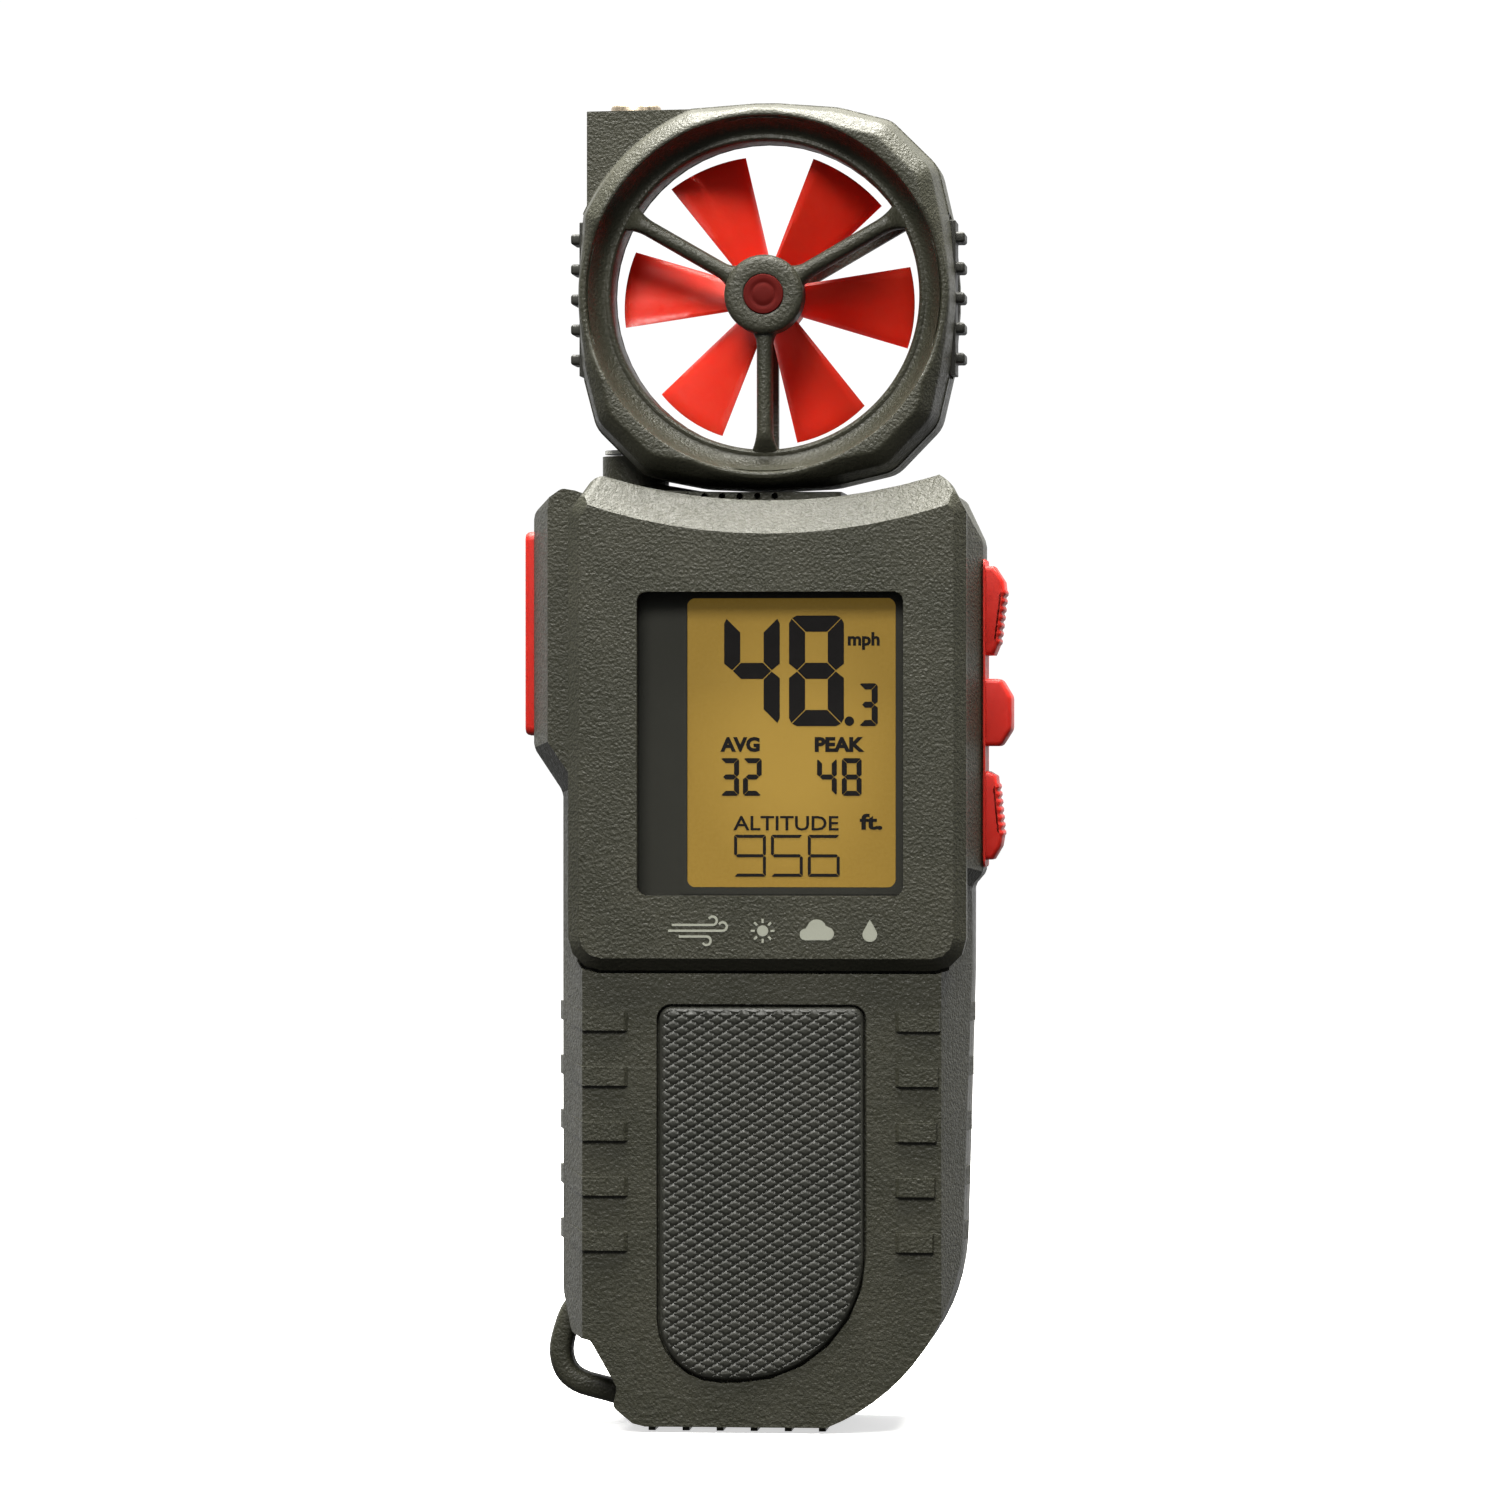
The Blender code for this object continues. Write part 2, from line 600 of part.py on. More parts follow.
def screw_piece(name, at, head_back, head_depth, head_radius, shank_radius, tip, colour="steel"):
    """A countersunk case screw with a cross recess, its head facing the back."""
    z_head = -head_back
    profile = [
        (0, -tip), (shank_radius, -tip), (shank_radius, z_head + head_depth), (head_radius, z_head + head_depth),
        (head_radius, z_head), (0, z_head),
    ]
    piece = turned(name, profile, (at[0], 0, at[1]), colour=colour, steps=16)
    reach = head_radius * 0.6
    cross = block(name + "_cross", (at[0] - reach, at[0] + reach), (head_back - 0.5, head_back + 1),
                  (at[1] - 0.2, at[1] + 0.2))
    other = block(name + "_cross_2", (at[0] - 0.2, at[0] + 0.2), (head_back - 0.6, head_back + 1),
                  (at[1] - reach, at[1] + reach))
    cut(piece, cross, other)


# ---------------------------------------------------------------- swivel

def swivel():
    axis = (PIVOT_X, PIVOT_Y)
    foot = slab("swivel_base", rounded([(-22.6, -7.6, 1), (10.0, -7.6, 1), (10.0, 9.0, 3), (-22.6, 9.0, 3)]),
                119.1, 124.5, "shell", plane="XY")
    # Its top follows the underside of the head, which sweeps round the pivot.
    cut(foot, turned("foot_saddle", [(0, 130), (45, 130), (45, 122.25), (18, 122.25), (13, 122.35), (9, 122.7),
                                     (5, 123.4), (0, 124.2)], (*axis, 0), axis="Z", steps=40))
    boss = rod("foot_boss", BOSS_RADIUS, 121.5, BOSS_TOP - 121.5, axis, axis="Z", steps=32)
    join(foot, boss)
    vents = [
        rod(f"vent_{i}", 0.45, -9, 4.6, (x, 121.7), steps=8)
        for i, x in enumerate(-12.5 + 2.3 * i for i in range(7))
    ]
    pocket = block("sensor_pocket", (-8.0, -1.0), (-4.7, 1.0), (118, 121.0))
    cut(foot, rod("foot_bore", PIN_RADIUS + FIT, 110, 30, axis, axis="Z"), pocket, *vents)
    block("humidity_sensor", (-7.0, -2.0), (-4.0, 0.3), (119.1, 120.7), "white", bevel=0.2)
    turned("swivel_pin", [(PIN_RADIUS, PIN_TOP), (PIN_RADIUS, 113.9), (1.0, 113.9), (1.0, PIN_TOP)],
           (*axis, 0), axis="Z", colour="steel", steps=24)
    turned("swivel_nut", [(3.9, 114.9), (3.9, 114.0), (2.3, 114.0), (2.3, 114.9)], (*axis, 0), axis="Z",
           colour="steel", steps=6 * 4)
    turned("friction_washer", [(4.1, 128.1), (4.1, 127.6), (2.3, 127.6), (2.3, 128.1)], (*axis, 0), axis="Z",
           colour="white", steps=24)


# ---------------------------------------------------------------- head

def head_outline(hinge_corner):
    """The head seen from the front, about the hub: square-cornered above the pivot on the rear shell only."""
    right = [(9.4, 24.7, 8), (16.4, 22.9, 3), (22.5, 16.9, 4), (24.2, 9.5, 10), (25.0, 0, 20), (24.2, -9.5, 10),
             (22.5, -16.9, 4), (16.6, -23.0, 4), (8.5, -24.9, 8)]
    left = [(-8.5, -24.9, 8), (-16.2, -23.4, 4), (-22.4, -17.2, 4), (-24.4, -9.5, 10), (-25.0, 0, 20)]
    if hinge_corner:
        corner = [(-24.1, 12.0), (-24.1, 24.75), (-10.3, 24.95)]
    else:
        corner = [(x, z, 0) for x, z in arc(0, 0, 26.6, 156, 112, 5)]
    outline = rounded(right + [(0, -25.3, 20)] + left + corner + [(0, 25.4, 20)], step=12)
    return [(x, HUB_Z + z) for x, z in outline]


def spoke(name, angle, width, front, back, inner, outer):
    """A straight bar from the hub to the ring."""
    bar = block(name, (inner, outer), (front, back), (-width / 2, width / 2))
    bar.data.transform(Matrix.Rotation(math.radians(-angle), 4, "Y"))
    bar.data.transform(Matrix.Translation((0, 0, HUB_Z * MM)))
    return bar


def pivot_cutters(name):
    axis = (PIVOT_X, PIVOT_Y)
    return [
        rod(name + "_boss_space", BOSS_RADIUS + 0.4, 105, KNUCKLE_BOTTOM - 105, axis, axis="Z", steps=32),
        rod(name + "_pin_bore", PIN_RADIUS + FIT, 125, PIN_TOP + 0.5 - 125, axis, axis="Z", steps=24),
    ]


def side_grooves(name):
    return [
        block(f"{name}_groove_{side}", (side * 23.6 if side > 0 else -27, 27 if side > 0 else -23.6),
              (-4.6, 2.6), (HUB_Z - 10.6, HUB_Z + 10.2))
        for side in (-1, 1)
    ]


def head_front():
    shell = slab("head_front_shell", head_outline(False), HEAD_FRONT, HEAD_SPLIT - 0.15, "shell",
                 chamfer=(2.4, 2.0))
    hub = (0, 0, HUB_Z)
    bezel = turned("bezel_cut", [(0, 20), (BEZEL_RADIUS, 20), (BEZEL_RADIUS, -HEAD_FRONT - 1.2),
                                 (20.9, 6.4), (20.9, 5.6), (APERTURE, 5.0), (APERTURE, -5), (0, -5)], hub, steps=56)
    cut(shell, bezel)
    centre = rod("front_hub", HUB_RADIUS, -10.2, 4.8, (0, HUB_Z), steps=32)
    bars = [spoke(f"front_spoke_{a}", a, 1.8, -9.0, -6.2, 2.0, 21.0) for a in SPOKE_ANGLES]
    join(shell, bars[0], bars[1], bars[2], centre)
    cut(
        shell,
        rod("badge_recess", 2.9, -12, 2.3, (0, HUB_Z)),
        rod("front_bearing_seat", 2.3, -8.0, 3.0, (0, HUB_Z)),
        *pivot_cutters("front"),
        *side_grooves("front"),
        *[rod(f"front_head_thread_{i}", 1.0, -6, 6.0, (x, HUB_Z + z), steps=10)
          for i, (x, z) in enumerate(HEAD_SCREWS)],
    )


def head_rear():
    shell = slab("head_rear_shell", head_outline(True), HEAD_SPLIT + 0.15, HEAD_BACK, "shell",
                 chamfer_back=(1.6, 1.6))
    bore = turned("rear_bore", [(0, 5), (APERTURE, 5), (APERTURE, 0.6), (21.4, -4.4), (21.6, -12), (0, -12)],
                  (0, 0, HUB_Z), steps=56)
    cut(shell, bore)
    centre = rod("rear_hub", 4.4, 4.6, 2.2, (0, HUB_Z), steps=24)
    bars = [spoke(f"rear_spoke_{a}", a, 1.5, 4.8, 6.3, 2.0, 22.4) for a in SPOKE_ANGLES]
    join(shell, bars[0], bars[1], bars[2], centre)
    cut(
        shell,
        rod("rear_bearing_seat", 2.3, 4.0, 2.2, (0, HUB_Z)),
        block("speed_sensor_seat", (-1.2, 1.2), (4.0, 5.8), (HUB_Z + 2.6, HUB_Z + 3.9)),
        rod("cap_recess", CAP_RADIUS + FIT, 171.4, 5, (PIVOT_X, CAP_Y), axis="Z"),
        rod("thermistor_hole", 1.4, 167.2, 6, (PIVOT_X, CAP_Y), axis="Z", steps=12),
        *pivot_cutters("rear"),
        *side_grooves("rear"),
        *[rod(f"rear_head_hole_{i}", 1.0, -3, 12.0, (x, HUB_Z + z), steps=10)
          for i, (x, z) in enumerate(HEAD_SCREWS)],
        *[rod(f"rear_head_sink_{i}", 1.7, 5.2, 5.0, (x, HUB_Z + z), steps=14)
          for i, (x, z) in enumerate(HEAD_SCREWS)],
    )


def head_trim():
    rod("hub_badge", 2.6, -10.3, 0.5, (0, HUB_Z), colour="badge", steps=24)
    cap = turned("sensor_cap", [(0, 173.9), (CAP_RADIUS - 0.6, 173.9), (CAP_RADIUS, 173.5), (CAP_RADIUS, 171.7),
                                (0, 171.7)], (PIVOT_X, CAP_Y, 0), axis="Z", colour="tan", steps=28)
    cap.data.materials.clear()
    cap.data.materials.append(material("tan"))
    rod("thermistor", 0.9, 167.9, 3.4, (PIVOT_X, CAP_Y), axis="Z", colour="black", steps=12)
    block("speed_sensor", (-0.9, 0.9), (4.5, 5.5), (HUB_Z + 2.9, HUB_Z + 3.6), "black")
    turned("front_bearing", [(2.0, 7.7), (2.0, 5.9), (1.1, 5.9), (1.1, 7.7)], (0, 0, HUB_Z), colour="brass",
           steps=20)
    turned("rear_bearing", [(2.0, -4.7), (2.0, -5.9), (1.1, -5.9), (1.1, -4.7)], (0, 0, HUB_Z), colour="brass",
           steps=20)
    for side, name in ((-1, "head_grip_left"), (1, "head_grip_right")):
        inner, outer = sorted((side * 23.9, side * 24.7))
        strip = block(name, (inner, outer), (-4.3, 2.3), (HUB_Z - 10.3, HUB_Z + 9.9), "rubber")
        nubs = []
        for i in range(5):
            middle = HUB_Z - 8.1 + 3.95 * i
            low, high = sorted((side * 24.4, side * 25.9))
            nubs.append(block(f"{name}_nub_{i}", (low, high), (-3.9, 1.9), (middle - 0.7, middle + 0.7),
                              bevel=0.25))
        join(strip, *nubs)
    for i, (x, z) in enumerate(HEAD_SCREWS):
        screw_piece(f"head_screw_{i + 1}", (x, HUB_Z + z), 6.6, 1.1, 1.4, 0.7, -5.4)


# ---------------------------------------------------------------- impeller

def blade(index):
    """One twisted blade: its trailing edge leans towards the front and its tip follows the ring."""
    rings = 6
    across = 5
    shape = bmesh.new()
    bmesh.ops.create_grid(shape, x_segments=rings - 1, y_segments=across - 1, size=0.5)
    for vert in shape.verts:
        out = vert.co.x + 0.5
        side = vert.co.y * 2
        radius = ROOT_RADIUS - 1.4 + (TIP_RADIUS - ROOT_RADIUS + 1.4) * out
        grown = max(0.0, (radius - ROOT_RADIUS) / (TIP_RADIUS - ROOT_RADIUS))
        tip_chord = math.radians(TIP_SPAN) * TIP_RADIUS
        chord = ROOT_CHORD + (tip_chord - ROOT_CHORD) * grown
        angle = math.radians(BLADE_PHASE + 360 / BLADES * index) + side * chord / 2 / radius
        lean = 2.5 + 0.4 * grown
        camber = 0.5 * (1 - side * side) * grown
        vert.co = (radius * math.cos(angle) * MM, (-side * lean + camber) * MM,
                   (HUB_Z + radius * math.sin(angle)) * MM)
    mesh = bpy.data.meshes.new(f"blade_{index}")
    shape.to_mesh(mesh)
    shape.free()
    made = add_object(f"blade_{index}", mesh, None, cutters)
    wall = made.modifiers.new("thickness", "SOLIDIFY")
    wall.thickness = 0.8 * MM
    wall.offset = 0
    bake(made)
    return made


def impeller():
    hub = rod("impeller", IMPELLER_HUB, -4.6, 8.8, (0, HUB_Z), colour="red", steps=32)
    join(hub, *[blade(i) for i in range(BLADES)])
    cut(hub, rod("shaft_bore", 1.05, -9, 18, (0, HUB_Z), steps=16), rod("magnet_seat", 3.4, 2.6, 3, (0, HUB_Z)))
    set_pivot(hub, (0, 0, HUB_Z))
    shaft = rod("impeller_shaft", 0.75, -7.6, 13.4, (0, HUB_Z), colour="steel", steps=16)
    set_pivot(shaft, (0, 0, HUB_Z))
    magnet = turned("impeller_magnet", [(3.1, -2.9), (3.1, -4.1), (1.3, -4.1), (1.3, -2.9)], (0, 0, HUB_Z),
                    colour="black", steps=24)
    set_pivot(magnet, (0, 0, HUB_Z))


front_shell()
rear_shell()
display_plate()
display_stack()
keys()
grip_pad()
power()
slab("lanyard_loop", loop_outline(), -2.5, 2.5, "shell", chamfer=(0.5, 0.5), chamfer_back=(0.5, 0.5))
for number, place in enumerate(CASE_SCREWS):
    screw_piece(f"case_screw_{number + 1}", place, 13.2, 1.5, 1.8, 0.7, -6.6)
swivel()
head_front()
head_rear()
head_trim()
impeller()
finish_shading()
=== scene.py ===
"""Looks of the handheld weather meter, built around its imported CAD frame.

Metres, in the frame's own axes: the display faces -Y and +Z is up. Lengths in the tables and calls below are
millimetres, which the helpers turn into metres.
"""
import json
import math

import bmesh
import bpy
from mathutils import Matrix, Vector

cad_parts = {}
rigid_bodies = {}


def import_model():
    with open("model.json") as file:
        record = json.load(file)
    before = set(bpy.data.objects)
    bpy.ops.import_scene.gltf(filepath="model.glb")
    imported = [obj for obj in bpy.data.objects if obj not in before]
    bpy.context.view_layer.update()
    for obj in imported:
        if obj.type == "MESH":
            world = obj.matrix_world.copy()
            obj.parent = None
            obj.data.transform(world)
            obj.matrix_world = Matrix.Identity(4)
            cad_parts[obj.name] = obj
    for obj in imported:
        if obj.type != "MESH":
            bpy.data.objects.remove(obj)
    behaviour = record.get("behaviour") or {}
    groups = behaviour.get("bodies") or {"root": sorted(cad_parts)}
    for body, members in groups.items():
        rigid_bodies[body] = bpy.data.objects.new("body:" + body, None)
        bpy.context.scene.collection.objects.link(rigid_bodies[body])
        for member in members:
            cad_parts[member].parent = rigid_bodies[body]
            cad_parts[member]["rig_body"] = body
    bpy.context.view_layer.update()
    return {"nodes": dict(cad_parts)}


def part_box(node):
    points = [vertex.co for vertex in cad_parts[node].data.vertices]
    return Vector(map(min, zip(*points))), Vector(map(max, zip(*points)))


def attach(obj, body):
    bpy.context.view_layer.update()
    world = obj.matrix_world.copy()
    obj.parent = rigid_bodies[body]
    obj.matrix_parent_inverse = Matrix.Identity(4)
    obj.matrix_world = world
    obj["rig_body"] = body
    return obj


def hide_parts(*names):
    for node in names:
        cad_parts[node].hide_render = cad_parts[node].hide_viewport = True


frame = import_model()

MM = 0.001
NODES = frame["nodes"]

# Places that the finer pieces share with the CAD.
HUB_Z = 147.9
APERTURE = 20.1
BEZEL = 23.2
HEAD_SEAM = -1.15
SPOKE_ANGLES = (30, 150, 270)
LCD_FACE = -11.2
LCD_LIMITS = (-10.1, 17.6, 70.5, 108.6)
PLATE_FACE = -14.5


# ---------------------------------------------------------------- materials

class Paint:
    """A Principled material whose patterns are read from the piece's own coordinates, in metres."""

    def __init__(self, name, **sockets):
        self.material = bpy.data.materials.new(name)
        self.material.use_nodes = True
        self.tree = self.material.node_tree
        self.shader = self.tree.nodes["Principled BSDF"]
        self.place = self.tree.nodes.new("ShaderNodeTexCoord").outputs["Object"]
        for socket, value in sockets.items():
            self.shader.inputs[socket.replace("_", " ")].default_value = value

    def node(self, kind, outlet, links, operation=None, **values):
        made = self.tree.nodes.new(kind)
        if operation:
            made.operation = operation
        for socket, value in values.items():
            made.inputs[socket].default_value = value
        for socket, source in links.items():
            self.tree.links.new(source, made.inputs[socket])
        return made.outputs[outlet]

    def stretched(self, x, y, z):
        made = self.tree.nodes.new("ShaderNodeMapping")
        made.inputs["Scale"].default_value = (x, y, z)
        self.tree.links.new(self.place, made.inputs["Vector"])
        return made.outputs["Vector"]

    def noise(self, scale, detail=3.0, place=None):
        links = {"Vector": place or self.place}
        return self.node("ShaderNodeTexNoise", "Fac", links, Scale=scale, Detail=detail)

    def cells(self, scale):
        return self.node("ShaderNodeTexVoronoi", "Distance", {"Vector": self.place}, Scale=scale)

    def ramp(self, value, *stops):
        """Stops are (position, colour or grey)."""
        made = self.tree.nodes.new("ShaderNodeValToRGB")
        self.tree.links.new(value, made.inputs["Fac"])
        keys = made.color_ramp.elements
        while len(keys) < len(stops):
            keys.new(0.5)
        for key, (position, colour) in zip(keys, stops):
            key.position = position
            key.color = (*colour, 1.0) if hasattr(colour, "__len__") else (colour, colour, colour, 1.0)
        return made.outputs["Color"]

    def mix(self, share, first, second):
        made = self.tree.nodes.new("ShaderNodeMix")
        made.data_type = "RGBA"
        self.tree.links.new(share, made.inputs["Factor"])
        for slot, colour in (("A", first), ("B", second)):
            socket = next(s for s in made.inputs if s.name == slot and s.type == "RGBA")
            if hasattr(colour, "__len__"):
                socket.default_value = (*colour, 1.0)
            else:
                self.tree.links.new(colour, socket)
        return next(s for s in made.outputs if s.type == "RGBA")

    def colour(self, source):
        self.tree.links.new(source, self.shader.inputs["Base Color"])

    def rough(self, source, low, high):
        self.tree.links.new(self.ramp(source, (0.3, low), (0.7, high)), self.shader.inputs["Roughness"])

    def bump(self, *layers):
        """Layers are (height, strength, depth in mm), laid over each other."""
        normal = None
        for height, strength, depth in layers:
            links = {"Height": height}
            if normal:
                links["Normal"] = normal
            normal = self.node("ShaderNodeBump", "Normal", links, Strength=strength, Distance=depth * MM)
        self.tree.links.new(normal, self.shader.inputs["Normal"])


def grained(name, dark, light, glint_colour, roughness, grain=2500, depth=0.15, strength=1.0, glint_share=0.40):
    """Spark-eroded plastic: a fine pitted grain; pale flecks, which are painted glints standing in for light
    caught by the grain; slow changes of tone.
    """
    paint = Paint(name, Specular_IOR_Level=0.5)
    tone = paint.ramp(paint.noise(120, 4), (0.35, dark), (0.65, light))
    # Painted glints: small pale cells mixed into the colour all over, standing in for highlights on the
    # grain.
    painted_glints = paint.ramp(paint.cells(grain * 0.75), (0.0, glint_share), (0.20, 0.0))
    paint.colour(paint.mix(painted_glints, tone, glint_colour))
    paint.rough(paint.noise(grain * 0.6, 2), roughness - 0.09, roughness + 0.09)
    paint.bump((paint.noise(grain, 2), strength, depth))
    return paint.material


def metal(name, colour, roughness, streak=900):
    paint = Paint(name, Metallic=1.0)
    dull = tuple(c * 0.8 for c in colour)
    streaks = paint.noise(streak, 3, paint.stretched(1, 1, 0.08))
    paint.colour(paint.mix(streaks, dull, colour))
    paint.rough(streaks, roughness - 0.08, roughness + 0.12)
    paint.bump((streaks, 0.2, 0.02))
    return paint.material


def moulded(name, dark, light, roughness, grain=1500, depth=0.03):
    paint = Paint(name)
    paint.colour(paint.mix(paint.noise(200, 3), dark, light))
    paint.rough(paint.noise(grain * 0.5, 2), roughness - 0.06, roughness + 0.06)
    paint.bump((paint.noise(grain, 2), 0.4, depth))
    return paint.material


def silicone(name, dark, light):
    """Coloured silicone rubber, slightly see-through at its thin edges."""
    paint = Paint(name, Subsurface_Weight=0.35, Subsurface_Scale=0.0012, Specular_IOR_Level=0.45)
    paint.shader.inputs["Subsurface Radius"].default_value = (1.0, 0.25, 0.15)
    paint.colour(paint.mix(paint.noise(260, 3), dark, light))
    paint.rough(paint.noise(1400, 2), 0.42, 0.56)
    paint.bump((paint.noise(3200, 2), 0.35, 0.05))
    return paint.material


def blade_plastic():
    """Thin red plastic that lets the light behind it through, with a weak painted red glow added on top."""
    # The red emission is a painted glow, standing in for light passing through the thin blades.
    paint = Paint("blade_red", Subsurface_Weight=0.6, Subsurface_Scale=0.0016, Specular_IOR_Level=0.5,
                  Emission_Color=(0.85, 0.022, 0.008, 1.0), Emission_Strength=0.04)
    paint.shader.inputs["Subsurface Radius"].default_value = (1.0, 0.10, 0.04)
    paint.colour(paint.mix(paint.noise(160, 3), (0.74, 0.022, 0.009), (0.90, 0.045, 0.018)))
    paint.rough(paint.noise(1500, 2), 0.34, 0.50)
    paint.bump((paint.noise(2600, 2), 0.35, 0.05))
    return paint.material


def lcd_glass():
    """Amber display over its backlight panel, a little darker towards its edges. Its colour is also emitted
    weakly, a painted glow that keeps it evenly bright.
    """
    # Emission Strength is a painted glow: the amber colour is emitted to keep the display evenly bright.
    paint = Paint("lcd_amber", Emission_Strength=0.30, Specular_IOR_Level=0.2)
    x0, x1, z0, z1 = [c * MM for c in LCD_LIMITS]
    centred = paint.tree.nodes.new("ShaderNodeMapping")
    centred.inputs["Location"].default_value = (-(x0 + x1) / (x1 - x0), 0, -(z0 + z1) / (z1 - z0))
    centred.inputs["Scale"].default_value = (2 / (x1 - x0), 0, 2 / (z1 - z0))
    paint.tree.links.new(paint.place, centred.inputs["Vector"])
    spread = paint.node("ShaderNodeVectorMath", "Value", {"Vector": centred.outputs["Vector"]}, "LENGTH")
    amber_and_painted_glow = paint.ramp(spread, (0.35, (0.42, 0.262, 0.046)), (1.0, (0.33, 0.200, 0.031)))
    speckle = paint.ramp(paint.noise(2600, 2), (0.35, 0.0), (0.75, 0.16))
    mottled = paint.mix(speckle, amber_and_painted_glow, (0.50, 0.33, 0.07))
    paint.colour(mottled)
    # The same colour feeds the emission, so the painted glow also fades a little towards the edges.
    paint.tree.links.new(mottled, paint.shader.inputs["Emission Color"])
    paint.rough(paint.noise(1800, 2), 0.42, 0.52)
    paint.bump((paint.noise(3000, 2), 0.15, 0.02))
    return paint.material


def clear_window():
    paint = Paint("window_clear", Base_Color=(0.05, 0.05, 0.045, 1.0), Alpha=0.08, Specular_IOR_Level=0.5)
    paint.rough(paint.noise(900, 2), 0.05, 0.09)
    paint.bump((paint.noise(120, 2), 0.05, 0.01))
    return paint.material


def battery_wrap():
    """A printed sleeve in bands: pale grey, blue, and a copper-coloured end."""
    paint = Paint("battery_wrap", Specular_IOR_Level=0.6)
    bands = paint.tree.nodes.new("ShaderNodeSeparateXYZ")
    paint.tree.links.new(paint.place, bands.inputs["Vector"])
    top_of_bands = 0.06
    scaled = paint.node("ShaderNodeMath", "Value", {0: bands.outputs["Z"]}, "MULTIPLY")
    scaled.node.inputs[1].default_value = 1 / top_of_bands
    wrap = paint.ramp(scaled, (0.0, (0.55, 0.55, 0.53)), (0.24, (0.02, 0.06, 0.20)),
                      (0.72, (0.02, 0.06, 0.20)), (0.78, (0.62, 0.40, 0.10)))
    wrap.node.color_ramp.interpolation = "CONSTANT"
    scuffs = paint.ramp(paint.noise(400, 3), (0.4, 0.0), (0.8, 0.12))
    paint.colour(paint.mix(scuffs, wrap, (0.5, 0.5, 0.5)))
    paint.rough(paint.noise(900, 2), 0.25, 0.35)
    paint.bump((paint.noise(1200, 2), 0.1, 0.01))
    return paint.material


# The third colour of each grained material is the colour of its painted glints, which stand in for light
# caught by the grain.
SHELL = grained("shell_grain", (0.037, 0.037, 0.024), (0.047, 0.046, 0.031), (0.17, 0.165, 0.12), 0.48)
PLATE = grained("plate_grain", (0.039, 0.039, 0.026), (0.049, 0.048, 0.033), (0.18, 0.175, 0.13), 0.46)
RUBBER = grained("pad_rubber", (0.030, 0.031, 0.025), (0.038, 0.038, 0.031), (0.10, 0.10, 0.085), 0.42,
                 grain=3000, depth=0.03, strength=0.4, glint_share=0.10)
NUBS = grained("nub_rubber", (0.018, 0.018, 0.014), (0.026, 0.026, 0.021), (0.07, 0.07, 0.06), 0.55,
               grain=3000, depth=0.03, strength=0.4, glint_share=0.10)
RED = silicone("key_red", (0.54, 0.012, 0.006), (0.66, 0.021, 0.010))
BLADE = blade_plastic()
BADGE = moulded("badge_red", (0.085, 0.003, 0.002), (0.12, 0.005, 0.003), 0.70, depth=0.03)
BLACK = moulded("black_plastic", (0.010, 0.010, 0.009), (0.018, 0.018, 0.016), 0.42)
STRIP = moulded("frame_grey", (0.034, 0.034, 0.028), (0.040, 0.040, 0.033), 0.55, grain=2400)
INK = moulded("lcd_ink", (0.004, 0.003, 0.004), (0.008, 0.006, 0.007), 0.80)
# Matt surfaces, which mirror little of the studio.
for flat in (STRIP, INK, BADGE):
    flat.node_tree.nodes["Principled BSDF"].inputs["Specular IOR Level"].default_value = 0.15
PRINT = moulded("icon_print", (0.34, 0.35, 0.29), (0.42, 0.43, 0.36), 0.50, grain=2600)
WHITE = moulded("white_plastic", (0.58, 0.58, 0.54), (0.68, 0.68, 0.64), 0.45)
STEEL = metal("steel", (0.58, 0.58, 0.59), 0.30)
BRASS = metal("brass", (0.62, 0.46, 0.20), 0.28)
TAN = metal("cap_tan", (0.60, 0.50, 0.38), 0.42, 2400)
LCD = lcd_glass()
GLASS = clear_window()
BATTERY = battery_wrap()


def circuit_board():
    paint = Paint("circuit_board")
    tracks = paint.node("ShaderNodeTexBrick", "Fac", {"Vector": paint.stretched(1, 1, 1)}, Scale=300.0)
    paint.colour(paint.mix(tracks, (0.010, 0.085, 0.035), (0.020, 0.16, 0.06)))
    paint.rough(paint.noise(800, 2), 0.30, 0.42)
    paint.bump((tracks, 0.3, 0.03))
    return paint.material


BOARD = circuit_board()


# ---------------------------------------------------------------- outlines

def arc(cx, cz, radius, start, end, steps):
    turn = [math.radians(start + (end - start) * i / steps) for i in range(steps + 1)]
    return [(cx + radius * math.cos(a), cz + radius * math.sin(a)) for a in turn]


def rounded(corners, step=12):
    """A closed outline from (x, z, radius) corners, each turned into an arc of that radius."""
    points = []
    for i, corner in enumerate(corners):
        if len(corner) == 2 or corner[2] == 0:
            points.append((corner[0], corner[1]))
            continue
        x, z, radius = corner
        before = corners[i - 1]
        after = corners[(i + 1) % len(corners)]
        away_in = math.atan2(before[1] - z, before[0] - x)
        away_out = math.atan2(after[1] - z, after[0] - x)
        opening = (away_out - away_in + math.pi) % (2 * math.pi) - math.pi
        turn = math.pi - abs(opening)
        steps = max(1, round(math.degrees(turn) / step))
        reach = radius / math.sin(abs(opening) / 2)
        bisector = away_in + opening / 2
        centre = (x + reach * math.cos(bisector), z + reach * math.sin(bisector))
        setback = radius / math.tan(abs(opening) / 2)
        first = (x + setback * math.cos(away_in), z + setback * math.sin(away_in))
        begin = math.atan2(first[1] - centre[1], first[0] - centre[0])
        sweep = -math.copysign(turn, opening)
        for k in range(steps + 1):
            a = begin + sweep * k / steps
            points.append((centre[0] + radius * math.cos(a), centre[1] + radius * math.sin(a)))
    return points


def box_outline(x0, x1, z0, z1, radius=0.0):
    return rounded([(x0, z0, radius), (x1, z0, radius), (x1, z1, radius), (x0, z1, radius)])


